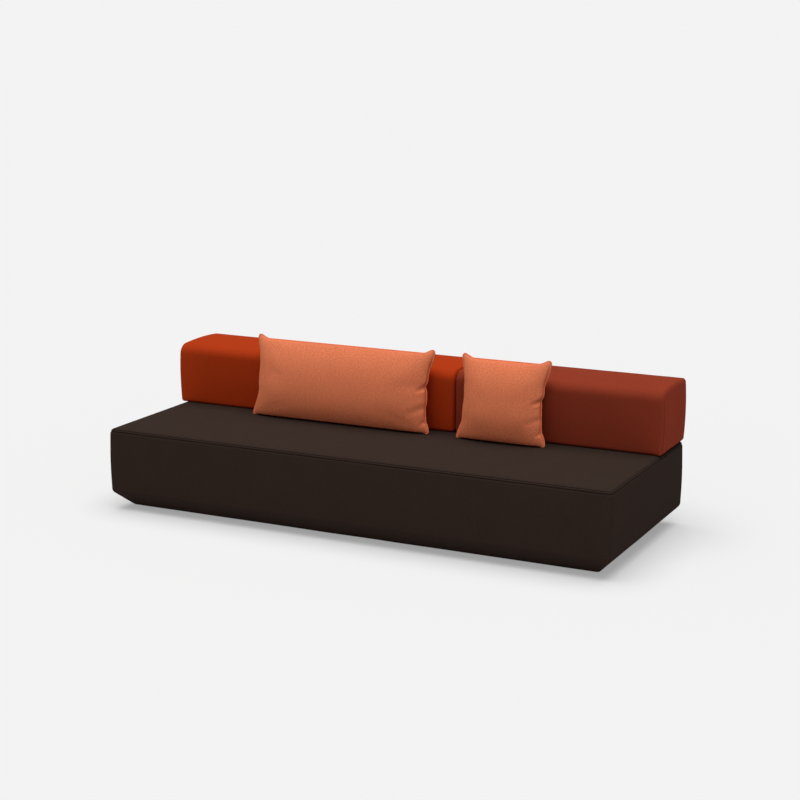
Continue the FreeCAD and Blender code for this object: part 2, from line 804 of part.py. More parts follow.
def build_bolster(side, span, crowns, tongue):
    """Cover over foam over a plywood angle: base board, upright and gussets, with two tongues below."""
    outer = bolster_block(f"{side}_outside", span, crowns, 0, END_TURNS, size.slide_gap)
    inner = bolster_block(f"{side}_inside", span, crowns, size.fabric, INNER_END_TURNS)
    keep(cut(f"{side}_back_cover", outer, inner), f"{side}_back_cover")

    foot = block_level + padding_inset
    board_top = foot + size.back_board
    across = (span[0] + size.back_frame_inset, span[1] - size.back_frame_inset)
    rear = back_plane - size.back_frame_inset
    upright_front = rear - size.back_upright
    depth = (back_front + size.back_frame_inset, rear)
    blank = board(f"{side}_board_blank", across, depth, (foot, board_top))
    tongue_x = (span[0] + size.tongue_inset, span[1] - size.tongue_inset)
    seat_x = size.tongue_plate_length / 2 + size.press_gap
    seat_y = size.tongue_plate_width / 2 + size.press_gap
    plate_seats = [
        board(
            f"{side}_plate_seat",
            (x - seat_x, x + seat_x),
            (tongue_y - seat_y, tongue_y + seat_y),
            (block_level, foot + size.tongue_plate_thickness),
        )
        for x in tongue_x
    ]
    base_board = cut(f"{side}_back_base_board", blank, group(f"{side}_plate_seats", plate_seats))
    keep(base_board, f"{side}_back_base_board")

    top = block_level + size.back_height - size.back_upright_drop
    upright = board(f"{side}_back_upright", across, (upright_front, rear), (board_top, top))
    keep(upright, f"{side}_back_upright")

    gusset = new_body(f"{side}_gusset")
    leg = size.gusset_leg
    brace = draw(sketch_on(gusset, "YZ_Plane"), [(0, 0), (0, leg), (-leg, 0)])
    pad(gusset, brace, size.gusset_thickness, "Symmetric")
    first = across[0] + size.back_frame_inset
    last = across[1] - size.back_frame_inset
    places = [
        (first + (last - first) * (index / (GUSSET_COUNT - 1)), upright_front, board_top, 0)
        for index in range(GUSSET_COUNT)
    ]
    gussets = keep(copies(f"{side}_back_gussets", gusset, places), f"{side}_back_gussets")

    foam = bolster_block(f"{side}_foam_block", span, crowns, padding_inset, INNER_END_TURNS)
    foam_room = fuse(f"{side}_foam_room", [blank, upright, gussets])
    keep(cut(f"{side}_back_foam", foam, foam_room), f"{side}_back_foam")

    tongues = copies(f"{side}_back_tongues", tongue, [(x, tongue_y, foot, 0) for x in tongue_x])
    keep(tongues, f"{side}_back_tongues")
    build_zip(side, span)


# Loose cushions

def cushion_form(name, width):
    """Upright sections that swell from a seam at either end of the cushion to its crown."""
    body = new_body(name)
    seam = size.fabric
    sections = []
    for side, steps in ((-1, CUSHION_STEPS), (1, CUSHION_STEPS[::-1])):
        for step in steps:
            swell = 1 - (1 - step) ** 2
            x = width / 2 - size.side_draw - step * size.cushion_reach
            top = size.cushion_height / 2 - swell * size.side_draw
            low = size.cushion_height / 2 - swell * size.bottom_draw
            outline = [
                (-seam, -low),
                (seam, -low, swell * size.cushion_back),
                (seam, top),
                (-seam, top, swell * size.cushion_front),
            ]
            sections.append(draw(sketch_on(body, "YZ_Plane", side * x), outline))
    loft(body, sections, ruled=True)
    return body


def add_ears(body, width):
    """Pointed corners, where the seam runs out past the drawn-in ends."""
    ears = sketch_on(body, "XZ_Plane")
    tip = width / 2
    end = tip - size.side_draw
    high = size.cushion_height / 2
    low = high - size.ear_length
    draw(ears, [(end, low), (tip, high), (end, high)])
    draw(ears, [(-end, low), (-end, high), (-tip, high)])
    draw(ears, [(-end, -low), (-tip, -high), (-end, -high)])
    draw(ears, [(end, -low), (end, -high), (tip, -high)])
    pad(body, ears, 2 * size.fabric, "Symmetric")


def filling_halves(name, width, gap):
    """Front and back half of the cushion's inside, each tapering from the seam to a flat crown."""
    end = width / 2 - size.side_draw
    rim = (end - size.cover_seam - gap, size.cushion_height / 2 - size.side_draw - size.cover_seam - gap)
    crest = (end - size.cushion_reach, size.crown_flat - gap)
    lining = size.fabric + gap
    halves = []
    for depth, near, far in (
        ((lining - size.cushion_front, 0), crest, rim),
        ((0, size.cushion_back - lining), rim, crest),
    ):
        wedge = doc.addObject("Part::Wedge", name)
        corners = {"Xmax": near[0], "Zmax": near[1], "X2max": far[0], "Z2max": far[1]}
        for corner, reach in corners.items():
            tie(wedge, corner, reach)
            tie(wedge, corner.replace("max", "min"), -reach)
        tie(wedge, "Ymin", depth[0])
        tie(wedge, "Ymax", depth[1])
        halves.append(wedge)
    return halves


def lean(pieces, x):
    """Stand a cushion on the seat and lean its back on the bolsters' front plane."""
    tilt = FreeCAD.Rotation(FreeCAD.Vector(1, 0, 0), -number(size.cushion_tilt))
    for piece in pieces:
        piece.Placement = FreeCAD.Placement(FreeCAD.Vector(), tilt)
    doc.recompute()
    box = pieces[0].Shape.optimalBoundingBox()
    rest = FreeCAD.Vector(
        number(x),
        number(back_front - size.fit_gap) - box.YMax,
        number(seat_level + size.fit_gap) - box.ZMin,
    )
    for piece in pieces:
        piece.Placement = FreeCAD.Placement(rest, tilt)


def build_cushion(side, width, x):
    outer = cushion_form(f"{side}_cushion_outside", width)
    add_ears(outer, width)
    room = filling_halves(f"{side}_cushion_room", width, 0)
    halves = filling_halves(f"{side}_filling_half", width, size.soft_gap)
    lean([outer] + room + halves, x)
    cover = cut(f"{side}_cushion_cover", outer, fuse(f"{side}_cushion_inside", room))
    keep(cover, f"{side}_cushion_cover")
    keep(fuse(f"{side}_cushion_filling", halves), f"{side}_cushion_filling")


build_rails()
build_plinth("front_plinth", half_length, half_depth, 0)
build_plinth("right_plinth", half_depth, half_length, 90)
build_plinth("back_plinth", half_length, half_depth, 180)
build_plinth("left_plinth", half_depth, half_length, 270)
build_battens()
for rib_index in range(1, RIB_COUNT + 1):
    build_rib(rib_index)
build_corner_blocks()
build_ledges()
build_slats()
build_bedding()
build_sockets()
build_base_cover()
build_padding()
build_underside()
bolster_tongue = build_tongue()
build_bolster("left", left_span, (size.back_end_crown, 0), bolster_tongue)
build_bolster("right", right_span, (0, size.back_end_crown), bolster_tongue)
build_cushion("long", size.long_cushion_width, size.long_cushion_x)
build_cushion("square", size.square_cushion_width, size.square_cushion_x)
doc.recompute()

for thing in doc.Objects:
    if "Invalid" in thing.State or "Error" in thing.State:
        raise RuntimeError(f"{thing.Label} failed: {thing.State}")
for node in nodes:
    if node.Shape.isNull() or not node.Shape.isValid():
        raise RuntimeError(f"{node.Label} has no valid shape")
os.makedirs("parts", exist_ok=True)
for node in nodes:
    node.Shape.exportStep(f"parts/{node.Label}.step")
    print(f"{node.Label}: {len(node.Shape.Solids)} solids, {node.Shape.Volume / 1e6:.3f} litres")
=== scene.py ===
import math

import bmesh
import bpy
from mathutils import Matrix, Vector, noise


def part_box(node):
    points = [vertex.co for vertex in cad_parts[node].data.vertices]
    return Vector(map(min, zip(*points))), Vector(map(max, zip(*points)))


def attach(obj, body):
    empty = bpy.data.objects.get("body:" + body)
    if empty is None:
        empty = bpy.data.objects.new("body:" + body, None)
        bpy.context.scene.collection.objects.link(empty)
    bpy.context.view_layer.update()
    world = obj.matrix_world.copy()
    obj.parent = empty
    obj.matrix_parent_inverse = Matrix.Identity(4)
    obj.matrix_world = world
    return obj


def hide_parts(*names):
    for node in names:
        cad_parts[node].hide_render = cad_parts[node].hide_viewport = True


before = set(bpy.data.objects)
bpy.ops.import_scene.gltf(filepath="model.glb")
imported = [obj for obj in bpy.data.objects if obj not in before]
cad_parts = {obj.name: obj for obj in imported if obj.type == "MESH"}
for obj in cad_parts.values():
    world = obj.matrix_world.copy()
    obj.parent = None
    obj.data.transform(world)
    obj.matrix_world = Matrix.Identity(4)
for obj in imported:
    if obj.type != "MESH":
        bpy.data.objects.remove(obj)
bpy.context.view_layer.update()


# Timber frame of the base: planed pine rails, slanted plinth boards, battens, ledges and
# corner blocks, glued and screwed together. The cover closes all of it in.

MM = 0.001


def linear(code):
    """Linear colour of an sRGB hex code such as B5784A."""
    levels = [int(code[place:place + 2], 16) / 255 for place in (0, 2, 4)]
    return [v / 12.92 if v <= 0.04045 else ((v + 0.055) / 1.055) ** 2.4 for v in levels] + [1]


def feed(tree, node, inputs):
    """Set a node's sockets, each to a value or to another node's output."""
    for socket, value in inputs.items():
        if isinstance(value, bpy.types.NodeSocket):
            tree.links.new(value, node.inputs[socket])
        else:
            node.inputs[socket].default_value = value
    return node


def add(tree, kind, inputs=None, **settings):
    """Add a shader node with its settings and links."""
    node = tree.nodes.new("ShaderNode" + kind)
    for setting, value in settings.items():
        setattr(node, setting, value)
    return feed(tree, node, inputs or {})


def new_material(name):
    material = bpy.data.materials.new(name)
    material.use_nodes = True
    return material, material.node_tree, material.node_tree.nodes["Principled BSDF"]


def finish_nodes(material, names):
    """Give CAD pieces that are shown as they are their material."""
    for name in names:
        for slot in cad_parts[name].material_slots:
            slot.material = material


def sawn_wood(name, along, early, late, ring, roughness):
    """Planed wood: early and late growth in long thin bands along the board, with a faint ridge."""
    material, tree, shader = new_material(name)
    run = 40 * ring
    spacing = [1 / run if axis == along else 1 / ring for axis in "XYZ"]
    place = add(tree, "Mapping", {"Vector": add(tree, "TexCoord").outputs["Object"], "Scale": spacing})
    bands = add(tree, "TexNoise", {"Vector": place.outputs[0], "Scale": 0.8, "Detail": 4, "Distortion": 0.7})
    fibre = add(tree, "TexNoise", {"Vector": place.outputs[0], "Scale": 6, "Detail": 2})
    tone = add(tree, "Mix", {0: bands.outputs["Fac"], 6: linear(early), 7: linear(late)}, data_type="RGBA")
    ridge = add(tree, "Bump", {"Height": fibre.outputs["Fac"], "Strength": 0.25, "Distance": 0.2 * MM})
    feed(tree, shader, {"Base Color": tone.outputs[2], "Normal": ridge.outputs[0], "Roughness": roughness})
    return material


# Planed pine looks honey-coloured and half dull, with growth rings about 4 mm wide.
PINE_RING = 4 * MM
pine_lengthwise, pine_crosswise = [
    sawn_wood(f"planed_pine_{run}", along, "E0BC86", "B98349", PINE_RING, roughness=0.6)
    for run, along in (("lengthwise", "X"), ("crosswise", "Y"))
]
finish_nodes(
    pine_lengthwise,
    ["front_rail", "back_rail", "front_plinth", "back_plinth", "front_batten", "back_batten",
     "front_slat_ledge", "back_slat_ledge", "corner_blocks"],
)
finish_nodes(
    pine_crosswise,
    ["left_end_rail", "right_end_rail", "left_plinth", "right_plinth", "left_batten", "right_batten"],
)


# Ribs across the frame and the bowed slats of the bed: birch plywood, pale and close-grained,
# sanded and sealed. The ribs stand on the battens and the slats spring between the ledges.

# Sanded birch looks creamy and smoother than the pine, with rings about 2 mm wide.
BIRCH_RING = 2 * MM
birch_lengthwise, birch_crosswise = [
    sawn_wood(f"sanded_birch_plywood_{run}", along, "E6CDA0", "CFA873", BIRCH_RING, roughness=0.5)
    for run, along in (("lengthwise", "X"), ("crosswise", "Y"))
]
finish_nodes(birch_crosswise, ["cross_rib_1", "cross_rib_2", "cross_rib_3", "bed_slats"])


# Caps on the slat ends: black rubber, moulded in one piece and pushed on. They hold each slat on
# its ledge and keep it quiet.

def moulded(name, colour, rubbed, grit, depth, roughness):
    """Moulded rubber or plastic: a fine grain breaks up the gloss, and handling greys it in clouds."""
    material, tree, shader = new_material(name)
    place = add(tree, "TexCoord").outputs["Object"]
    grain = add(tree, "TexNoise", {"Vector": place, "Scale": 1 / grit, "Detail": 3})
    cloud = add(tree, "TexNoise", {"Vector": place, "Scale": 0.05 / grit})
    dull = add(
        tree, "MapRange",
        {"Value": cloud.outputs["Fac"], "To Min": roughness - 0.08, "To Max": roughness + 0.08},
    )
    tone = add(
        tree, "Mix", {0: cloud.outputs["Fac"], 6: linear(colour), 7: linear(rubbed)}, data_type="RGBA",
    )
    bump = add(tree, "Bump", {"Height": grain.outputs["Fac"], "Strength": 0.3, "Distance": depth})
    feed(
        tree, shader,
        {"Base Color": tone.outputs[2], "Roughness": dull.outputs[0], "Normal": bump.outputs[0], "IOR": 1.5},
    )
    return material


# Moulded rubber looks matt black and a little grey where it is rubbed. Its fine grain is drawn
# 1.2 mm wide, so that it shows.
RUBBER_GRIT = 1.2 * MM
black_rubber = moulded(
    "moulded_black_rubber", "171717", "242322", RUBBER_GRIT, depth=0.1 * MM, roughness=0.75,
)
finish_nodes(black_rubber, ["slat_caps"])


# Steel sleeves that stand in the back ledge for the bolsters' tongues, and the tongues themselves:
# zinc-plated flat steel, whose plating shows a faint spangle and rub marks along the slide.

RUB_WIDTH = 1.11 * MM
RUB_LENGTH = 33.3 * MM


def zinc_surface(name, pale, dark, spangle, roughness):
    """Zinc, plated or cast: grey metal in pale and darker crystals, streaked where parts slide."""
    material, tree, shader = new_material(name)
    place = add(tree, "TexCoord").outputs["Object"]
    crystals = add(tree, "TexVoronoi", {"Vector": place, "Scale": 1 / spangle})
    rubbed = add(
        tree, "Mapping", {"Vector": place, "Scale": (1 / RUB_WIDTH, 1 / RUB_WIDTH, 1 / RUB_LENGTH)},
    )
    streaks = add(tree, "TexNoise", {"Vector": rubbed.outputs[0], "Scale": 1, "Detail": 2})
    mixed = add(
        tree, "Math", {0: crystals.outputs["Color"], 1: streaks.outputs["Fac"]}, operation="MULTIPLY",
    )
    dull = add(
        tree, "MapRange",
        {"Value": mixed.outputs[0], "To Min": roughness - 0.1, "To Max": roughness + 0.15},
    )
    tone = add(tree, "Mix", {0: mixed.outputs[0], 6: linear(pale), 7: linear(dark)}, data_type="RGBA")
    feed(tree, shader, {"Base Color": tone.outputs[2], "Metallic": 1, "Roughness": dull.outputs[0]})
    return material


# Plated zinc looks pale grey and half bright, in crystals of about 6 mm.
STEEL_SPANGLE = 6 * MM
zinc_steel = zinc_surface("zinc_plated_steel", "B9BCBE", "7F8487", STEEL_SPANGLE, roughness=0.4)
finish_nodes(zinc_steel, ["tongue_sockets", "left_back_tongues", "right_back_tongues"])


# Slot frames in the seat and glides under the base: black injection-moulded polyamide, finely
# eroded, pressed into the fabric and screwed through the dust cover.

# Eroded polyamide looks black with a low, broken gloss. Its fine grit is drawn 0.8 mm wide, so that
# it shows.
POLYAMIDE_GRIT = 0.8 * MM
black_polyamide = moulded(
    "eroded_black_polyamide", "1B1B1C", "29292A", POLYAMIDE_GRIT, depth=0.08 * MM, roughness=0.55,
)
finish_nodes(black_polyamide, ["slot_frames", "floor_glides"])


# Hook-and-loop tape inside the hem: black woven nylon with rows of hooks. It is sewn to the hem
# and holds it to the battens, out of sight.

def fuzzy(name, colour, loop):
    """Dense cloth of loops or matted fibre: dark and dull, with small bright points."""
    material, tree, shader = new_material(name)
    place = add(tree, "TexCoord").outputs["Object"]
    fibre = add(tree, "TexNoise", {"Vector": place, "Scale": 1 / loop, "Detail": 5})
    tone = add(
        tree, "Mix", {0: fibre.outputs["Fac"], 6: linear("0C0C0C"), 7: linear(colour)}, data_type="RGBA",
    )
    bump = add(tree, "Bump", {"Height": fibre.outputs["Fac"], "Strength": 0.6, "Distance": 0.5 * MM})
    feed(
        tree, shader,
        {"Base Color": tone.outputs[2], "Normal": bump.outputs[0], "Roughness": 0.95,
         "Specular IOR Level": 0.2},
    )
    return material


# Hook tape looks dull black, with lighter points where the hooks stand 1.5 mm apart.
HOOK_SPACING = 1.5 * MM
finish_nodes(fuzzy("hook_and_loop_nylon", "2A2A2A", HOOK_SPACING), ["hem_tapes"])


# Dust cover under the frame: black spun-bonded polypropylene, stapled to the battens all round.
# It hangs a little between them.

def skin(name, rows, form="tube"):
    """Mesh through rows of points: an open sheet, an open sleeve, a tube with closed ends or a loop."""
    width = len(rows[0])
    around = width - 1 if form == "sheet" else width
    along = len(rows) if form == "loop" else len(rows) - 1
    edit = bmesh.new()
    grid = [[edit.verts.new(point) for point in row] for row in rows]
    for row in range(along):
        here, there = grid[row], grid[(row + 1) % len(rows)]
        for index in range(around):
            after = (index + 1) % width
            edit.faces.new((here[index], here[after], there[after], there[index]))
    if form == "tube":
        edit.faces.new(grid[0])
        edit.faces.new(grid[-1])
    bmesh.ops.recalc_face_normals(edit, faces=edit.faces)
    for face in edit.faces:
        face.smooth = True
    mesh = bpy.data.meshes.new(name)
    edit.to_mesh(mesh)
    edit.free()
    piece = bpy.data.objects.new(name, mesh)
    bpy.context.scene.collection.objects.link(piece)
    return piece


def spread(low, high, step, *marks):
    """Even places from low to high about a step apart, with further places that must be among them."""
    count = max(1, round((high - low) / step))
    even = [low + (high - low) * index / count for index in range(count + 1)]
    kept = [place for place in even if all(abs(place - mark) > step / 4 for mark in marks)]
    return sorted(kept + [mark for mark in marks if low < mark < high])


DUST_SAG = 1.5 * MM
DUST_WAVE = 1.5
DUST_STEP = 40 * MM
dust_low, dust_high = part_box("dust_cover")


def dust_level(x, y):
    """Height of the cover, which hangs most along its middle and is held up near the ends."""
    return dust_low.z - DUST_SAG * math.cos(DUST_WAVE * x) ** 2 * (1 - (y / dust_high.y) ** 2)


dust_rows = [
    [(x, y, dust_level(x, y)) for x in spread(dust_low.x, dust_high.x, DUST_STEP)]
    for y in spread(dust_low.y, dust_high.y, DUST_STEP)
]
# Spun-bonded cloth looks matt and nearly black, mottled where its fibres cross about every 0.9 mm.
FIBRE_SPACING = 0.9 * MM
dust_cloth = skin("dust_cover_cloth", dust_rows, form="sheet")
dust_cloth.data.materials.append(fuzzy("spunbonded_polypropylene", "1E1E20", FIBRE_SPACING))
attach(dust_cloth, "base")
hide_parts("dust_cover")


# Side band of the base cover: dark brown wool felt cloth over thin foam, sewn to the roll at the
# top, drawn round the undercut and turned in under the frame.

LONG_STEPS = 96
SHORT_STEPS = 38
CORNER_STEPS = 6


def ring(half_x, half_y, radius, level):
    """Rounded rectangle with the same number of points at any size."""
    centre_x = half_x - radius
    centre_y = half_y - radius
    points = []
    for quarter in range(4):
        turn = quarter * math.pi / 2
        across = quarter % 2
        run, reach = (centre_x, centre_y) if across else (centre_y, centre_x)
        along = Vector((-math.sin(turn), math.cos(turn), 0))
        out = Vector((math.cos(turn), math.sin(turn), 0))
        steps = LONG_STEPS if across else SHORT_STEPS
        for index in range(steps):
            points.append(out * (reach + radius) + along * run * (2 * index / steps - 1))
        corner = out * reach + along * run
        for index in range(CORNER_STEPS):
            swing = turn + index * math.pi / 2 / CORNER_STEPS
            points.append(corner + radius * Vector((math.cos(swing), math.sin(swing), 0)))
    return [point + Vector((0, 0, level)) for point in points]


def soften(piece, reach, span, inward=False):
    """Move a mesh gently in and out, as stuffed cloth does, or only inwards if a piece rests on it."""
    moves = []
    for vertex in piece.data.vertices:
        drift = noise.noise(vertex.co / span)
        moves.append(vertex.normal * reach * (-abs(drift) if inward else drift))
    for vertex, move in zip(piece.data.vertices, moves):
        vertex.co += move
    piece.data.update()


def lay_cloth(piece):
    """Texture places in metres, taken along the two axes that each face lies closest to."""
    layer = piece.data.uv_layers.new(name="cloth")
    for face in piece.data.polygons:
        sizes = [abs(part) for part in face.normal]
        flat = sizes.index(max(sizes))
        first, second = [axis for axis in range(3) if axis != flat]
        for corner in face.loop_indices:
            point = piece.data.vertices[piece.data.loops[corner].vertex_index].co
            layer.data[corner].uv = (point[first], point[second])


# A wave texture of scale 1 repeats every pi / 10. Wear fades the wool in wide clouds, and its fibres
# lie in clumps about three times as long as wide.
WAVE_REPEAT = math.pi / 10
WEAR_SPAN = 143 * MM
SLUB_RUN = 0.35


def wool_cloth(name, yarn, light, dark, thread, slub, mottle, relief, bloom):
    """Woven wool: dull, with mixed light and dark fibres, low threads and a soft bloom at the edges."""
    material, tree, shader = new_material(name)
    flat = add(tree, "UVMap", uv_map="cloth").outputs[0]
    warp, weft = [
        add(
            tree, "TexWave", {"Vector": flat, "Scale": WAVE_REPEAT / thread, "Distortion": 0.6},
            bands_direction=way,
        )
        for way in "XY"
    ]
    threads = add(tree, "Math", {0: warp.outputs["Fac"], 1: weft.outputs["Fac"]}, operation="MULTIPLY")
    drawn = add(tree, "Mapping", {"Vector": flat, "Scale": (SLUB_RUN / slub, 1 / slub, 1)})
    fibres = add(tree, "TexNoise", {"Vector": drawn.outputs[0], "Scale": 1, "Detail": 5, "Roughness": 0.65})
    cloud = add(tree, "TexNoise", {"Vector": flat, "Scale": 1 / WEAR_SPAN, "Detail": 2})
    low = add(
        tree, "MapRange",
        {"Value": fibres.outputs["Fac"], "From Min": 0.32, "From Max": 0.5, "To Min": mottle, "To Max": 0},
    )
    high = add(
        tree, "MapRange",
        {"Value": fibres.outputs["Fac"], "From Min": 0.5, "From Max": 0.68, "To Min": 0, "To Max": mottle},
    )
    shade = add(tree, "Mix", {0: low.outputs[0], 6: linear(yarn), 7: linear(dark)}, data_type="RGBA")
    lit = add(tree, "Mix", {0: high.outputs[0], 6: shade.outputs[2], 7: linear(light)}, data_type="RGBA")
    fade = add(tree, "MapRange", {"Value": cloud.outputs["Fac"], "To Min": 0.94, "To Max": 1.06})
    worn = add(
        tree, "Mix", {0: 1, 6: lit.outputs[2], 7: fade.outputs[0]}, data_type="RGBA", blend_type="MULTIPLY",
    )
    height = add(tree, "Math", {0: threads.outputs[0], 1: fibres.outputs["Fac"]}, operation="ADD")
    bump = add(tree, "Bump", {"Height": height.outputs[0], "Strength": relief, "Distance": 0.5 * MM})
    feed(
        tree, shader,
        {"Base Color": worn.outputs[2], "Normal": bump.outputs[0], "Roughness": 0.95,
         "Specular IOR Level": 0.02, "Sheen Weight": bloom, "Sheen Roughness": 0.5,
         "Sheen Tint": linear(light)},
    )
    return material


def bent(middle, height, radius, first, last, steps):
    """Places (inset, level) round a bend, by the angle in degrees from straight out to straight down."""
    turns = [math.radians(first + (last - first) * index / steps) for index in range(steps + 1)]
    return [(middle - radius * math.cos(turn), height - radius * math.sin(turn)) for turn in turns]


# Milled wool looks dull and even. Its threads are 0.9 mm apart and are drawn twice as coarse, so
# that they show.
BROWN_THREAD = 1.8 * MM
FELT_SLUB = 3 * MM
brown_felt = wool_cloth(
    "milled_wool_brown", "372B26", "4A3C35", "281E1A", BROWN_THREAD, FELT_SLUB,
    mottle=0.3, relief=0.3, bloom=0.003,
)
CORNER_ROUND = 12 * MM
TIGHT_ROUND = 2 * MM
UNDERCUT = 72.5 * MM
KNEE_ROUND = 28 * MM
HEM_ROUND = 14 * MM
HEM_WIDTH = 45 * MM
HEM_THICK = 1.6 * MM
BAND_SWELL = 2.5 * MM
BAND_SLACK = 0.8 * MM
BAND_SLACK_SPAN = 220 * MM
SIDE_STEPS = 14
SLOPE_STEPS = 5
LIP_ROUND = 14 * MM
LIP_TURN = 35
LIP_SET = 8.5 * MM
LIP_DEPTH = 9 * MM
LIP_RISE = 1.5 * MM
band_low, band_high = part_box("base_band")
half_bend = math.tan(math.radians(45 / 2))
lip_level = band_high.z - LIP_SET - LIP_ROUND * math.sin(math.radians(LIP_TURN))
lip = bent(LIP_ROUND, lip_level, LIP_ROUND, -LIP_TURN, 0, steps=8)
knee_level = band_low.z + UNDERCUT
knee = bent(KNEE_ROUND, knee_level + KNEE_ROUND * half_bend, KNEE_ROUND, 0, 45, steps=6)
hem = bent(UNDERCUT + HEM_ROUND * half_bend, band_low.z + HEM_ROUND, HEM_ROUND, 45, 90, steps=6)
side = [
    (-BAND_SWELL * math.sin(math.pi * index / SIDE_STEPS),
     lip[-1][1] + (knee[0][1] - lip[-1][1]) * index / SIDE_STEPS)
    for index in range(1, SIDE_STEPS)
]
slope = [
    tuple(a + (b - a) * index / SLOPE_STEPS for a, b in zip(knee[-1], hem[0]))
    for index in range(1, SLOPE_STEPS)
]
hem_inset = UNDERCUT + HEM_WIDTH
turned_in = [(hem_inset, band_low.z), (hem_inset, band_low.z + HEM_THICK)]
allowance = [(LIP_DEPTH + LIP_RISE, band_high.z + LIP_RISE), (LIP_DEPTH, lip[0][1])]
band_rows = [
    ring(band_high.x - inset, band_high.y - inset, max(CORNER_ROUND - inset, TIGHT_ROUND), level)
    for inset, level in allowance + lip
]
band_rows += [
    ring(band_high.x - inset, band_high.y - inset, CORNER_ROUND, level)
    for inset, level in side + knee + slope + hem + turned_in
]
side_band = skin("base_side_band", band_rows, form="sleeve")
soften(side_band, BAND_SLACK, BAND_SLACK_SPAN)
lay_cloth(side_band)
side_band.data.materials.append(brown_felt)
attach(side_band, "base")
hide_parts("base_band", "frame_padding")


# Top panel of the base cover: the same felt over the wadding and the foam mattress. Its edges roll
# down into the seam with the roll, and four openings take the slot frames.

PANEL_ROLL = 26 * MM
PANEL_DROP = 8.5 * MM
PANEL_OVER = 2 * MM
PANEL_CORNER = 7 * MM
PANEL_SLACK = 0.9 * MM
PANEL_SLACK_SPAN = 300 * MM
PANEL_STEP = 24 * MM
SLOTS_APART = 200 * MM
EDGE_PLACES = [inset * MM for inset in (1, 2.5, 5, 9, 14, 20)]
panel_low, panel_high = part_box("seat_top_panel")
panel_low.xy -= Vector((PANEL_OVER, PANEL_OVER))
panel_high.xy += Vector((PANEL_OVER, PANEL_OVER))
frames_low, frames_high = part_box("slot_frames")
slot_sides = sorted({round(vertex.co.x, 4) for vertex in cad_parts["slot_frames"].data.vertices})
breaks = [
    index for index in range(1, len(slot_sides))
    if slot_sides[index] - slot_sides[index - 1] > SLOTS_APART
]
slot_starts = [slot_sides[index] for index in [0] + breaks]
slot_ends = [slot_sides[index - 1] for index in breaks + [len(slot_sides)]]
panel_x = spread(
    panel_low.x, panel_high.x, PANEL_STEP,
    *slot_starts, *slot_ends,
    *[panel_low.x + inset for inset in EDGE_PLACES],
    *[panel_high.x - inset for inset in EDGE_PLACES],
)
panel_y = spread(
    panel_low.y, panel_high.y, PANEL_STEP,
    frames_low.y, frames_high.y,
    *[panel_low.y + inset for inset in EDGE_PLACES],
    *[panel_high.y - inset for inset in EDGE_PLACES],
)


def roll_down(distance):
    """How far the panel has dropped at a distance from its seam."""
    near = max(0, 1 - distance / PANEL_ROLL)
    return PANEL_DROP * (1 - math.sqrt(1 - near * near))


def cut_round(x, y, half_x, half_y, radius):
    """Place of a point of a square-cornered sheet once its corners are cut round."""
    over_x = abs(x) - half_x + radius
    over_y = abs(y) - half_y + radius
    if min(over_x, over_y) <= 0:
        return x, y
    share = max(over_x, over_y) / math.hypot(over_x, over_y)
    return (
        math.copysign(half_x - radius + over_x * share, x),
        math.copysign(half_y - radius + over_y * share, y),
    )


def panel_point(x, y):
    """Place on the panel, which rolls down at its edges and lies a little slack over the wadding."""
    drop_x = roll_down(min(x - panel_low.x, panel_high.x - x))
    drop_y = roll_down(min(y - panel_low.y, panel_high.y - y))
    slack = PANEL_SLACK * abs(noise.noise(Vector((x, y, 0)) / PANEL_SLACK_SPAN))
    place = cut_round(x, y, panel_high.x, panel_high.y, PANEL_CORNER)
    return *place, panel_high.z - max(drop_x, drop_y, slack)


def in_slot(x, y):
    """Whether a place lies in one of the openings for the slot frames."""
    across = any(start < x < end for start, end in zip(slot_starts, slot_ends))
    return across and frames_low.y < y < frames_high.y


seat_panel = skin("seat_panel", [[panel_point(x, y) for x in panel_x] for y in panel_y], form="sheet")
panel_edit = bmesh.new()
panel_edit.from_mesh(seat_panel.data)
slot_faces = [face for face in panel_edit.faces if in_slot(*face.calc_center_median().xy)]
bmesh.ops.delete(panel_edit, geom=slot_faces, context="FACES")
panel_edit.to_mesh(seat_panel.data)
panel_edit.free()
lay_cloth(seat_panel)
seat_panel.data.materials.append(brown_felt)
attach(seat_panel, "base")
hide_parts("seat_top_panel", "mattress_core", "mattress_pad")


# Roll between the top panel and the side band: a strip of the same felt folded round a cord and
# caught in the seam all the way round.

ROLL_TURNS = 12
ROLL_RADIUS = 4.2 * MM
ROLL_SET = 7.6 * MM
ROLL_CORNER = 14 * MM
ROLL_DRAWN = 3 * MM
welt_low, welt_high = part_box("seat_welt")
roll_rows = []
for turn in range(ROLL_TURNS):
    angle = 2 * math.pi * turn / ROLL_TURNS
    inset = ROLL_DRAWN + ROLL_RADIUS * (1 - math.cos(angle))
    level = welt_low.z - ROLL_SET + ROLL_RADIUS * (1 + math.sin(angle))
    roll_rows.append(ring(welt_high.x - inset, welt_high.y - inset, ROLL_CORNER - inset, level))
seam_roll = skin("seat_seam_roll", roll_rows, form="loop")
lay_cloth(seam_roll)
seam_roll.data.materials.append(brown_felt)
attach(seam_roll, "base")
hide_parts("seat_welt")


# Boards inside each back bolster: a base, an upright and gussets of birch plywood, glued up into
# one stiff frame. The foam and the cover hide them.

for back in ("left", "right"):
    finish_nodes(birch_lengthwise, [f"{back}_back_base_board", f"{back}_back_upright"])
    finish_nodes(birch_crosswise, [f"{back}_back_gussets"])


# Covers of the two back bolsters: wool felt, burnt orange on the long one and terracotta on the
# short one, sewn as a tube with a panel at each end and filled tight with cut foam.

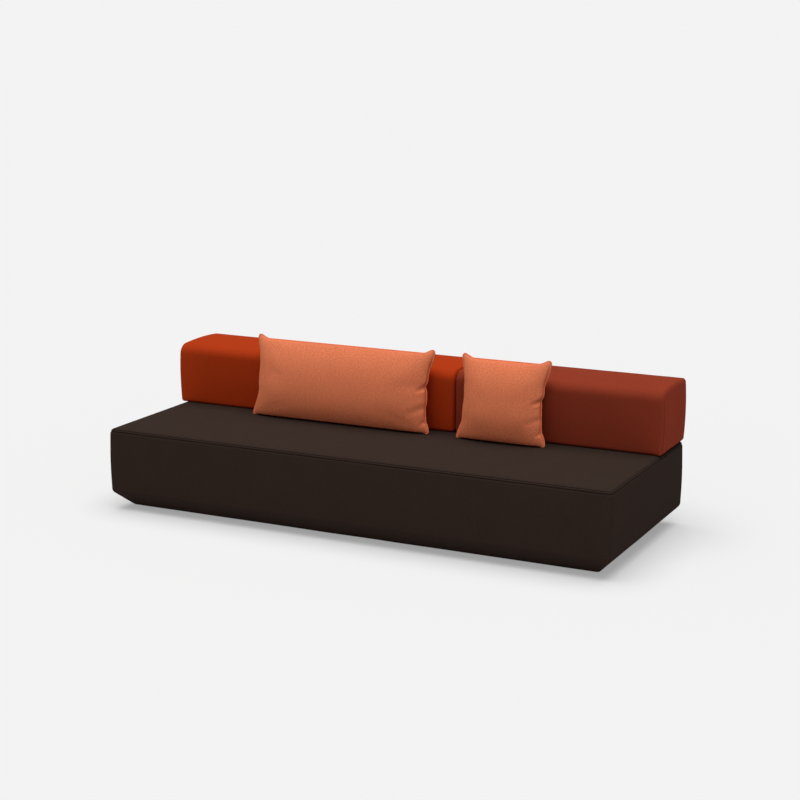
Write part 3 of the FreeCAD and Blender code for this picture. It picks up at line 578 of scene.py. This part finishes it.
FRONT_TOP_ROUND = 48 * MM
EDGE_ROUND = 14 * MM
LEAST_ROUND = 3 * MM
BEND_STEPS = 8
FLAT_STEPS = 14
BOLSTER_STEP = 22 * MM
TOP_CROWN = 6 * MM
END_ROUND = 11 * MM
END_CROWN = 10 * MM
END_SHARES = (0.03, 0.25, 0.5, 0.7, 0.85, 0.94, 0.985)
END_TURNS = (12, 28, 45, 62, 78, 90)
END_FLAT = 20 * MM
SIDE_PRESS = 0.35
LEFT_PROUD = 11 * MM
RIGHT_PROUD = 4 * MM
RIM_TURN = 0.3 * MM
SEAM_PLACE = 1.8 * MM
SEAM_WIDTH = 2 * MM
SEAM_DEPTH = 1.6 * MM
BOLSTER_SLACK = 1.6 * MM
BOLSTER_SLACK_SPAN = 200 * MM


def bolster_outline(low, high, inset):
    """Places (y, z) round a bolster's section, all drawn in by an inset."""
    top = high.z - TOP_CROWN
    corners = [
        (low.y, low.z, 1, 1, EDGE_ROUND, 180),
        (high.y, low.z, -1, 1, EDGE_ROUND, 270),
        (high.y, top, -1, -1, EDGE_ROUND, 0),
        (low.y, top, 1, -1, FRONT_TOP_ROUND, 90),
    ]
    rounds = []
    for y, z, way_y, way_z, radius, start in corners:
        bend = max(radius - inset, LEAST_ROUND)
        middle = Vector((y + way_y * (inset + bend), z + way_z * (inset + bend)))
        turns = [math.radians(start + 90 * step / BEND_STEPS) for step in range(BEND_STEPS + 1)]
        rounds.append([middle + bend * Vector((math.cos(turn), math.sin(turn))) for turn in turns])
    points = []
    for index, bend in enumerate(rounds):
        points += bend
        first = bend[-1]
        last = rounds[(index + 1) % 4][0]
        on_top = index == 2
        for step in range(1, FLAT_STEPS):
            point = first.lerp(last, step / FLAT_STEPS)
            if on_top:
                point = point + Vector((0, TOP_CROWN * math.sin(math.pi * step / FLAT_STEPS)))
            points.append(point)
    return points


def bolster_rows(low, high, left_crown, right_crown):
    """Rings along a bolster: each end panel from its middle outwards, its seam, and the tube between."""
    middle = (low.yz + high.yz) / 2
    half = (high.yz - low.yz) / 2
    rim = bolster_outline(low, high, END_ROUND)
    seam = bolster_outline(low, high, END_ROUND + SEAM_DEPTH)

    def end(edge, way, crown):
        """Rings of one end; the filling presses the panel and its seam outwards, most at half height."""
        def ring_at(points, along, share, pressed):
            row = []
            for point in points:
                place = middle.lerp(point, share)
                off = place - middle
                bulge = (1 - (off.y / half.y) ** 2) * (1 - SIDE_PRESS * (off.x / half.x) ** 2)
                row.append((edge + way * (along - crown * pressed * bulge), *place))
            return row

        rows = [ring_at(rim, 0, share, 1) for share in END_SHARES]
        rows.append(ring_at(rim, RIM_TURN, 1, 1))
        rows.append(ring_at(seam, SEAM_PLACE, 1, 1))
        for turn in END_TURNS:
            swing = math.radians(turn)
            outline = bolster_outline(low, high, END_ROUND * (1 - math.sin(swing)))
            along = SEAM_WIDTH + END_ROUND * (1 - math.cos(swing))
            rows.append(ring_at(outline, along, 1, math.cos(swing)))
        return rows

    first = low.x + left_crown - LEFT_PROUD * bool(left_crown)
    last = high.x - right_crown + RIGHT_PROUD * bool(right_crown)
    tube = [
        [(x, *point) for point in bolster_outline(low, high, 0)]
        for x in spread(first + END_ROUND + END_FLAT, last - END_ROUND - END_FLAT, BOLSTER_STEP)
    ]
    return end(first, 1, left_crown) + tube + end(last, -1, right_crown)[::-1]


# The same dull felt, dyed: it shows fibres in clumps of 3 mm, and its 1 mm threads are drawn twice as
# coarse, so that they show.
DYED_THREAD = 2 * MM
bolster_dyes = {
    "left": ("milled_wool_orange", "B43B16", "C64D26", "9A3110"),
    "right": ("milled_wool_terracotta", "923B27", "A54D38", "7D301F"),
}
bolster_crowns = {"left": (END_CROWN, 0), "right": (0, END_CROWN)}
for back, dyes in bolster_dyes.items():
    felt = wool_cloth(*dyes, DYED_THREAD, FELT_SLUB, mottle=0.3, relief=0.3, bloom=0.01)
    low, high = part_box(f"{back}_back_cover")
    bolster = skin(f"{back}_bolster_cover", bolster_rows(low, high, *bolster_crowns[back]))
    soften(bolster, BOLSTER_SLACK, BOLSTER_SLACK_SPAN, inward=True)
    lay_cloth(bolster)
    bolster.data.materials.append(felt)
    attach(bolster, f"{back}_backrest")
    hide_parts(f"{back}_back_cover", f"{back}_back_foam")


# Zip along the back of each bolster: two woven polyester tapes sewn to the cover and a row of
# zinc teeth, through which the foam goes in.

TOOTH_PITCH = 2.6 * MM
TOOTH_REACH = 2.4 * MM
TOOTH_WIDTH = 0.85 * MM
TOOTH_STAGGER = 0.9 * MM
TOOTH_SINK = 0.3 * MM
TOOTH_TAPER = 0.7
TOOTH_CLEAR = 0.1 * MM
TAPE_SINK = 2 * MM
TAPE_SHARE = 0.55
TAPE_EDGE = 0.4 * MM
TAPE_STEP = 60 * MM
TAPES_APART = 1 * MM


def woven_tape(name, colour, rib):
    """Woven tape: fine ribs across its length and a darker line between them."""
    material, tree, shader = new_material(name)
    place = add(tree, "TexCoord").outputs["Object"]
    ribs = add(
        tree, "TexWave", {"Vector": place, "Scale": WAVE_REPEAT / rib, "Distortion": 0.4},
        bands_direction="X",
    )
    tone = add(
        tree, "Mix", {0: ribs.outputs["Fac"], 6: linear("1A1210"), 7: linear(colour)}, data_type="RGBA",
    )
    bump = add(tree, "Bump", {"Height": ribs.outputs["Fac"], "Strength": 0.5, "Distance": 0.3 * MM})
    feed(tree, shader, {"Base Color": tone.outputs[2], "Normal": bump.outputs[0], "Roughness": 0.8})
    return material


def tooth_row(name, shapes):
    """One mesh of many small eight-cornered teeth, each a lower and an upper ring of four points."""
    mesh = bpy.data.meshes.new(name)
    sides = ((3, 2, 1, 0), (4, 5, 6, 7), (0, 1, 5, 4), (1, 2, 6, 5), (2, 3, 7, 6), (3, 0, 4, 7))
    faces = []
    for index in range(len(shapes)):
        faces += [[8 * index + corner for corner in side] for side in sides]
    mesh.from_pydata([point for shape in shapes for point in shape], [], faces)
    piece = bpy.data.objects.new(name, mesh)
    bpy.context.scene.collection.objects.link(piece)
    return piece


# Woven polyester looks dark brown and dull, with a rib every 1.5 mm.
TAPE_RIB = 1.5 * MM
zip_weave = woven_tape("woven_polyester_tape", "4A2A20", TAPE_RIB)

# Burnished zinc alloy looks warmer and darker than the plated steel, with crystals of about 3 mm.
ALLOY_SPANGLE = 3 * MM
zip_zinc = zinc_surface("burnished_zinc_alloy", "98948D", "6C6862", ALLOY_SPANGLE, roughness=0.35)
for back in ("left", "right"):
    low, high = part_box(f"{back}_back_zip")
    centre = (low.z + high.z) / 2
    tape_top = low.y + TAPE_SHARE * (high.y - low.y)
    tape_spans = {
        "lower": (low.z, centre - TAPES_APART / 2),
        "upper": (centre + TAPES_APART / 2, high.z),
    }
    for place, (bottom, top) in tape_spans.items():
        strip = [
            (low.y - TAPE_SINK, bottom), (tape_top - TAPE_EDGE, bottom), (tape_top, bottom + TAPE_EDGE),
            (tape_top, top - TAPE_EDGE), (tape_top - TAPE_EDGE, top), (low.y - TAPE_SINK, top),
        ]
        rows = [[(x, y, z) for y, z in strip] for x in spread(low.x, high.x, TAPE_STEP)]
        tape = skin(f"{back}_zip_{place}_tape", rows)
        tape.data.materials.append(zip_weave)
        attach(tape, f"{back}_backrest")
        if place == "lower":
            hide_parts(f"{back}_back_zip")
    teeth = []
    for index in range(int((high.x - low.x) / TOOTH_PITCH)):
        x = low.x + (index + 0.5) * TOOTH_PITCH
        z = centre + (TOOTH_STAGGER if index % 2 else -TOOTH_STAGGER)
        lower, upper = [
            [(x + a * TOOTH_WIDTH * shrink, y, z + b * TOOTH_REACH * shrink)
             for a, b in ((-1, -1), (-1, 1), (1, 1), (1, -1))]
            for y, shrink in ((tape_top - TOOTH_SINK, 1), (high.y - TOOTH_CLEAR, TOOTH_TAPER))
        ]
        teeth.append(lower + upper)
    chain = tooth_row(f"{back}_zip_teeth", teeth)
    chain.data.materials.append(zip_zinc)
    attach(chain, f"{back}_backrest")


# Slider of each zip: a cast zinc body with a bridge on it, and a stamped pull tab with an eye that
# hangs from the bridge.

BODY_SHARE = 0.6
BODY_EDGE = 0.4 * MM
BRIDGE_STEPS = 8
BRIDGE_HALF = 4.5 * MM
BRIDGE_SINK = 0.3 * MM
BRIDGE_THICK = 0.6 * MM
BRIDGE_DEEP = 0.4 * MM
BRIDGE_WIDE = 1.3 * MM
TAB_ABOVE = 3 * MM
TAB_HALF = 4 * MM
TAB_THICK = 0.8 * MM
TAB_CLEAR = 0.1 * MM
EYE_UP = 7 * MM
EYE_HALF_X = 2 * MM
EYE_HALF_Z = 3.5 * MM


def plate_rows(outline, near, far, edge):
    """Rings for a plate with softened edges, its outline given as (x, z) places round a middle."""
    middle = Vector((sum(x for x, z in outline), sum(z for x, z in outline))) / len(outline)

    def at(y, inset):
        """The outline at a depth, drawn in towards the middle by an inset."""
        points = []
        for x, z in outline:
            away = Vector((x, z)) - middle
            place = middle + away * (1 - inset / away.length)
            points.append((place.x, y, place.y))
        return points

    return [at(near, edge), at(near + edge, 0), at(far - edge, 0), at(far, edge)]


def oval(centre_x, centre_z, half_x, half_z, corner, steps=24):
    """Places round an oval, squarer for a higher corner value."""
    points = []
    for step in range(steps):
        turn = 2 * math.pi * step / steps
        across = math.cos(turn)
        upward = math.sin(turn)
        points.append((
            centre_x + half_x * math.copysign(abs(across) ** (2 / corner), across),
            centre_z + half_z * math.copysign(abs(upward) ** (2 / corner), upward),
        ))
    return points


for back in ("left", "right"):
    low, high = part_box(f"{back}_zip_slider")
    zip_low, zip_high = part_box(f"{back}_back_zip")
    middle_x = (low.x + high.x) / 2
    middle_z = (zip_low.z + zip_high.z) / 2
    body_half = high.z - middle_z
    body_top = low.y + BODY_SHARE * (high.y - low.y)
    body_outline = oval(middle_x, middle_z, (high.x - low.x) / 2, body_half, corner=3)
    body = skin(f"{back}_zip_slider_body", plate_rows(body_outline, low.y, body_top, BODY_EDGE))
    arch = []
    for step in range(BRIDGE_STEPS + 1):
        turn = math.pi * step / BRIDGE_STEPS
        x = middle_x - BRIDGE_HALF * math.cos(turn)
        y = body_top - BRIDGE_SINK + (high.y - body_top) * math.sin(turn)
        arch.append([
            (x + a * BRIDGE_THICK, y - b * BRIDGE_DEEP, middle_z + c * BRIDGE_WIDE)
            for a, b, c in ((-1, 1, -1), (-1, 1, 1), (1, 0, 1), (1, 0, -1))
        ])
    bridge = skin(f"{back}_zip_slider_bridge", arch)
    tab_top = middle_z + TAB_ABOVE
    tab_middle = (tab_top + low.z) / 2
    tab_half = (tab_top - low.z) / 2
    outer = oval(middle_x, tab_middle, TAB_HALF, tab_half, corner=4)
    inner = oval(middle_x, low.z + EYE_UP, EYE_HALF_X, EYE_HALF_Z, corner=2)
    tab_near = body_top + TAB_CLEAR
    tab_far = tab_near + TAB_THICK
    tab = skin(
        f"{back}_zip_slider_tab",
        [[(x, y, z) for x, z in outline] for outline, y in
         ((inner, tab_near), (outer, tab_near), (outer, tab_far), (inner, tab_far))],
        form="loop",
    )
    for piece in (body, bridge, tab):
        piece.data.materials.append(zip_zinc)
        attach(piece, f"{back}_zip_slider")
    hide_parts(f"{back}_zip_slider")


# Loose cushions: salmon melange wool, two panels sewn face to face and turned out, so a narrow seam
# roll runs round the edge between pointed corners. Each is blown up from its sewn panels, as filling
# does it, and creased where the filling has slumped away from the right-hand seam.

# Filling: how far it stands out in front of and behind the seam, and how it swells and slumps.
CUSHION_STEP = 6 * MM
FRONT_REACH = 66 * MM
BACK_REACH = 44 * MM
SWELL_REACH = 145 * MM
SWELL_POWER = 0.56
SLUMP = 8 * MM
FILL_FRAMES = 20
SMOOTH_PASSES = 6
SEAT_GAP = 0.2 * MM

# Edges: how far each is drawn in between its corners and the panels hang over it, and how long the
# ears at the corners are and how blunt their tips.
SIDE_DRAW = 30 * MM
SIDE_WAVE = 0.25
SIDE_WAVE_SPAN = 60 * MM
SIDE_OVER = 13 * MM
TOP_DRAW = 26 * MM
TOP_OVER = 15 * MM
BOTTOM_DRAW = 20 * MM
BOTTOM_OVER = 25 * MM
OVER_PLACE = 11 * MM
EAR_ALONG_TOP = 60 * MM
EAR_UP_SIDE = 95 * MM
EAR_DOWN_SIDE = 130 * MM
TOP_BLUNT = 15 * MM
BOTTOM_BLUNT = 9 * MM

# Seam roll and creases: how far the roll stands out, and how the cloth pinches at the seam and
# folds up beside each crease.
SEAM_TURNS = 8
SEAM_ROLL = 4.3 * MM
SEAM_PROUD = 4.5 * MM
TIP_SINK = 2.5 * MM
PINCH_SHARE = 0.65
PINCH_WIDTH = 14 * MM
PINCH_REACH = 30 * MM
CREASE_LEAD = 0.4
CREASE_FADE = 1.15
CREASE_DEEP = 1.25
FOLD_HIGH = 0.35
FOLD_WIDTH = 2.2


def drawn_in(depth, place, half, ear):
    """How far the seam lies inside the line between two corners, at a place along that line."""
    share = min(1, (half - abs(place)) / ear)
    return depth * share * share * (3 - 2 * share)


def swell(distance):
    """Share of the full thickness at a distance from the seam, steep at the seam as on a full cushion."""
    near = max(0, 1 - distance / SWELL_REACH)
    return (1 - near * near) ** SWELL_POWER


def past_seam(most, inside):
    """How far a panel hangs over its own seam, at a distance inside it."""
    past = inside / OVER_PLACE
    return most * past * math.exp(1 - past)


def case_point(x, v, half_x, half_v, creases):
    """Where a place of a flat panel lies once its edges are drawn in and pinched at the creases."""
    wave = 1 + SIDE_WAVE * noise.noise(Vector((x, v, 0)) / SIDE_WAVE_SPAN)
    if v > 0:
        draw, over, ear, blunt = TOP_DRAW, TOP_OVER, EAR_DOWN_SIDE, TOP_BLUNT
    else:
        draw, over, ear, blunt = BOTTOM_DRAW, BOTTOM_OVER, EAR_UP_SIDE, BOTTOM_BLUNT
    narrow = 1 - wave * drawn_in(SIDE_DRAW, v, half_v, ear) / half_x
    low = 1 - drawn_in(draw, x, half_x, EAR_ALONG_TOP) / half_v
    hang = math.copysign(past_seam(drawn_in(over, x, half_x, EAR_ALONG_TOP), half_v - abs(v)), v)
    bow = math.copysign(past_seam(drawn_in(SIDE_OVER, v, half_v, ear), half_x - abs(x)), x)
    gather = sum(
        depth * MM * math.exp(-((v - start[1] * MM) / PINCH_WIDTH) ** 2)
        for start, end, width, depth in creases
    )
    bow -= PINCH_SHARE * gather * math.exp((x - half_x) / PINCH_REACH)
    blunt_x, blunt_v = cut_round(x, v, half_x, half_v, blunt)
    return blunt_x * narrow + bow, blunt_v * low + hang


def sewn_panels(name, half_x, half_v, creases):
    """Two panels that meet in a sunk seam; x and y lie in the panels and z is how far they stand out."""
    across = round(2 * half_x / CUSHION_STEP)
    up = round(2 * half_v / CUSHION_STEP)
    numbers = {}
    points = []
    flat = []
    for way, reach in ((1, FRONT_REACH), (-1, BACK_REACH)):
        for row in range(up + 1):
            for column in range(across + 1):
                rim = row in (0, up) or column in (0, across)
                if rim and way < 0:
                    numbers[way, row, column] = numbers[1, row, column]
                    continue
                x = half_x * (2 * column / across - 1)
                v = half_v * (2 * row / up - 1)
                stand = reach * swell(half_x - abs(x)) * swell(half_v - abs(v))
                numbers[way, row, column] = len(points)
                points.append((*case_point(x, v, half_x, half_v, creases), way * stand))
                flat.append((x, v))
    faces = []
    for way in (1, -1):
        for row in range(up):
            for column in range(across):
                corners = [(row, column), (row, column + 1), (row + 1, column + 1), (row + 1, column)]
                faces.append([numbers[(way, *corner)] for corner in corners[::way]])
    mesh = bpy.data.meshes.new(name)
    mesh.from_pydata(points, [], faces)
    mesh.polygons.foreach_set("use_smooth", [True] * len(faces))
    layer = mesh.uv_layers.new(name="cloth")
    for loop in mesh.loops:
        layer.data[loop.index].uv = flat[loop.vertex_index]
    piece = bpy.data.objects.new(name, mesh)
    bpy.context.scene.collection.objects.link(piece)
    rim = [(0, column) for column in range(across)] + [(row, across) for row in range(up)]
    rim += [(up, column) for column in range(across, 0, -1)] + [(row, 0) for row in range(up, 0, -1)]
    tip_steps = {place: min(place[0], up - place[0]) + min(place[1], across - place[1]) for place in rim}
    sewn = [number for (way, row, column), number in numbers.items()
            if row in (0, 1, up - 1, up) or column in (0, 1, across - 1, across)]
    return piece, {numbers[(1, *place)]: steps for place, steps in tip_steps.items()}, sewn


def blow_up(piece, sewn):
    """Press filling into a cushion whose seam keeps its line, and keep the shape its cloth takes."""
    seam = piece.vertex_groups.new(name="seam")
    seam.add(sewn, 1, "REPLACE")
    cloth = piece.modifiers.new("filling", "CLOTH")
    wool = {
        "quality": 6, "mass": 0.2, "air_damping": 4,
        "tension_stiffness": 30, "compression_stiffness": 30, "shear_stiffness": 10, "bending_stiffness": 3,
        "tension_damping": 12, "compression_damping": 12, "shear_damping": 12,
        "use_pressure": True, "uniform_pressure_force": 4, "vertex_group_mass": "seam",
    }
    for setting, value in wool.items():
        setattr(cloth.settings, setting, value)
    cloth.settings.effector_weights.gravity = 0
    cloth.point_cache.frame_start = 1
    cloth.point_cache.frame_end = FILL_FRAMES
    for step in range(1, FILL_FRAMES + 1):
        bpy.context.scene.frame_set(step)
    shaped = piece.evaluated_get(bpy.context.evaluated_depsgraph_get())
    places = [vertex.co.copy() for vertex in shaped.data.vertices]
    piece.modifiers.remove(cloth)
    piece.vertex_groups.remove(seam)
    bpy.context.scene.frame_set(1)
    for vertex, place in zip(piece.data.vertices, places):
        vertex.co = place
    edit = bmesh.new()
    edit.from_mesh(piece.data)
    edit.verts.ensure_lookup_table()
    held = set(sewn)
    loose = [vertex for vertex in edit.verts if vertex.index not in held]
    for _ in range(SMOOTH_PASSES):
        bmesh.ops.smooth_vert(
            edit, verts=loose, factor=0.5, use_axis_x=True, use_axis_y=True, use_axis_z=True,
        )
    edit.to_mesh(piece.data)
    edit.free()


def add_seam(piece, rim, front):
    """Seam allowance turned into a roll that stands out between the panels, but not at the tips."""
    edit = bmesh.new()
    edit.from_mesh(piece.data)
    edit.verts.ensure_lookup_table()
    path = [edit.verts[number].co.copy() for number in rim]
    steps = list(rim.values())
    layer = edit.loops.layers.uv["cloth"]
    rings = []
    lengths = [0]
    for index, place in enumerate(path):
        after = path[(index + 1) % len(path)]
        ahead = (after - path[index - 1]).normalized()
        out = ahead.cross(front).normalized()
        up = out.cross(ahead)
        share = min(1, steps[index] * CUSHION_STEP / EAR_ALONG_TOP)
        middle = place + ((SEAM_PROUD + TIP_SINK) * share - TIP_SINK) * out
        rings.append([
            edit.verts.new(middle + SEAM_ROLL * (math.cos(turn) * out + math.sin(turn) * up))
            for turn in [2 * math.pi * step / SEAM_TURNS for step in range(SEAM_TURNS)]
        ])
        lengths.append(lengths[-1] + (after - place).length)
    for index, here in enumerate(rings):
        there = rings[(index + 1) % len(rings)]
        for step in range(SEAM_TURNS):
            beside = (step + 1) % SEAM_TURNS
            face = edit.faces.new((here[step], there[step], there[beside], here[beside]))
            face.smooth = True
            spots = ((index, step), (index + 1, step), (index + 1, step + 1), (index, step + 1))
            for corner, (along, round_it) in zip(face.loops, spots):
                corner[layer].uv = (lengths[along], round_it * SEAM_ROLL * 2 * math.pi / SEAM_TURNS)
    bmesh.ops.recalc_face_normals(edit, faces=edit.faces)
    edit.to_mesh(piece.data)
    edit.free()


def crease_depth(x, v, half_x, start, end, width, depth):
    """Depth of a crease that runs in from the right-hand seam, with a low fold on either side of it."""
    first = Vector((half_x - start[0] * MM, start[1] * MM))
    last = Vector((half_x - end[0] * MM, end[1] * MM))
    line = last - first
    share = (Vector((x, v)) - first).dot(line) / line.length_squared
    off = (Vector((x, v)) - first - line * min(1, max(-CREASE_LEAD, share))).length / (width * MM)
    fade = min(1, max(0, CREASE_FADE - share))
    dip = CREASE_DEEP * math.exp(-off * off)
    fold = FOLD_HIGH * math.exp(-(off / FOLD_WIDTH) ** 2)
    return depth * MM * fade * (dip - fold)


# The woven melange looks flecked: its yarn mixes salmon, rust and pale fibres in streaks about 4 mm
# wide and 11 mm long. Its 1.2 mm threads are drawn twice as coarse, so that they show.
MELANGE_THREAD = 2.4 * MM
MELANGE_SLUB = 3.8 * MM
salmon_melange = wool_cloth(
    "woven_melange_salmon", "F4875D", "FCA884", "C4603A", MELANGE_THREAD, MELANGE_SLUB,
    mottle=0.48, relief=0.35, bloom=0.015,
)

# Each crease: where it starts and ends, as mm in from the right-hand seam and mm above the middle, then
# its width and depth in mm.
cushion_creases = {
    "long": [((26, 22), (58, 0), 8, 14), ((28, -74), (100, -104), 17, 6), ((24, -138), (38, -154), 6, 7)],
    "square": [((28, 12), (62, -6), 8, 13), ((28, -68), (86, -92), 16, 5), ((24, -130), (40, -148), 6, 7)],
}
for shape, creases in cushion_creases.items():
    cover = f"{shape}_cushion_cover"
    low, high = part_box(cover)
    points = [vertex.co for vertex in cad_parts[cover].data.vertices]
    tips = {
        (way_x, way_z): max(points, key=lambda point: way_x * point.x + way_z * point.z)
        for way_x in (-1, 1) for way_z in (-1, 1)
    }
    origin = sum(tips.values(), Vector()) / 4
    rise = (tips[1, 1] + tips[-1, 1] - tips[1, -1] - tips[-1, -1]) / 2
    half_x = (high.x - low.x) / 2
    half_v = rise.length / 2
    up = rise.normalized()
    sideways = Vector((1, 0, 0))
    front = sideways.cross(up)
    cushion, rim, sewn = sewn_panels(f"{shape}_cushion_case", half_x, half_v, creases)
    blow_up(cushion, sewn)
    stands = [vertex.co.z for vertex in cushion.data.vertices]
    for vertex in cushion.data.vertices:
        x, v, stand = vertex.co
        if stand > 0:
            stand *= FRONT_REACH / max(stands)
            stand -= sum(crease_depth(x, v, half_x, *crease) for crease in creases)
            v -= SLUMP * stand / FRONT_REACH
        else:
            stand *= -BACK_REACH / min(stands)
        place = origin + sideways * x + up * v + front * stand
        place.y = min(place.y, high.y)
        place.z = max(place.z, low.z + SEAT_GAP)
        vertex.co = place
    add_seam(cushion, rim, front)
    for vertex in cushion.data.vertices:
        vertex.co.y = min(vertex.co.y, high.y)
        vertex.co.z = max(vertex.co.z, low.z + SEAT_GAP)
    cushion.data.materials.append(salmon_melange)
    smooth = cushion.modifiers.new("smooth_cloth", "SUBSURF")
    smooth.levels = 1
    smooth.render_levels = 1
    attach(cushion, f"{shape}_cushion")
    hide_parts(cover, f"{shape}_cushion_filling")


# Stage: a plain pale floor out to the horizon, soft even light from above and a little from the
# front, and the camera.

FLOOR_HALF = 150
PAPER_BOUNCE = 0.6
PAPER_SEEN = 0.58
PAPER_GLOW = 0.31
AIR_FRONT = 0.37
AIR_BACK = 0.06
SOFTBOX_LEVEL = 0.795


def seen_directly(tree):
    """1 for what the camera sees, directly or through gloss or glass, and 0 for light on other pieces."""
    path = add(tree, "LightPath")
    seen = path.outputs["Is Camera Ray"]
    for ray in ("Is Glossy Ray", "Is Transmission Ray"):
        seen = add(tree, "Math", {0: seen, 1: path.outputs[ray]}, operation="MAXIMUM").outputs[0]
    return seen


# Matt paper looks even and nearly white to the camera, and keeps the soft shadow of the sofa.
paper, tree, shader = new_material("matt_white_paper")
seen = seen_directly(tree)
bounce, shown = [[level] * 3 + [1] for level in (PAPER_BOUNCE, PAPER_SEEN)]
pale = add(tree, "Mix", {0: seen, 6: bounce, 7: shown}, data_type="RGBA")
feed(
    tree, shader,
    {"Base Color": pale.outputs[2], "Roughness": 1, "Specular IOR Level": 0,
     "Emission Color": seen, "Emission Strength": PAPER_GLOW},
)
floor_mesh = bpy.data.meshes.new("studio_floor")
floor_corners = [(x * FLOOR_HALF, y * FLOOR_HALF, 0) for x, y in ((-1, -1), (1, -1), (1, 1), (-1, 1))]
floor_mesh.from_pydata(floor_corners, [], [(0, 1, 2, 3)])
floor_mesh.materials.append(paper)
floor = bpy.data.objects.new("studio_floor", floor_mesh)
bpy.context.scene.collection.objects.link(floor)

world = bpy.data.worlds.new("studio_air")
world.use_nodes = True
tree = world.node_tree
seen = seen_directly(tree)
aim = add(tree, "SeparateXYZ", {0: add(tree, "TexCoord").outputs["Generated"]})
lit = add(
    tree, "MapRange", {"Value": aim.outputs["Y"], "From Min": -1, "To Min": AIR_FRONT, "To Max": AIR_BACK},
)
air = add(tree, "Mix", {0: seen, 6: lit.outputs[0], 7: linear("F3F3F3")}, data_type="RGBA")
feed(tree, tree.nodes["Background"], {"Color": air.outputs[2], "Strength": 1})
bpy.context.scene.world = world

overhead = bpy.data.lights.new("overhead_softbox", "SUN")
overhead.energy = SOFTBOX_LEVEL * math.pi
overhead.angle = math.radians(64)
softbox = bpy.data.objects.new("overhead_softbox", overhead)
softbox.rotation_euler = (math.radians(2), 0, 0)
bpy.context.scene.collection.objects.link(softbox)

lens = bpy.data.cameras.new("product_camera")
lens.lens = 79.69
lens.sensor_width = 36
lens.clip_end = 400
camera = bpy.data.objects.new("product_camera", lens)
camera.location = (3.401, -6.909, 2.262)
camera.rotation_euler = [math.radians(turn) for turn in (77.372, -0.127, 25.998)]
bpy.context.scene.collection.objects.link(camera)
bpy.context.scene.camera = camera
bpy.context.scene.view_settings.view_transform = "Standard"
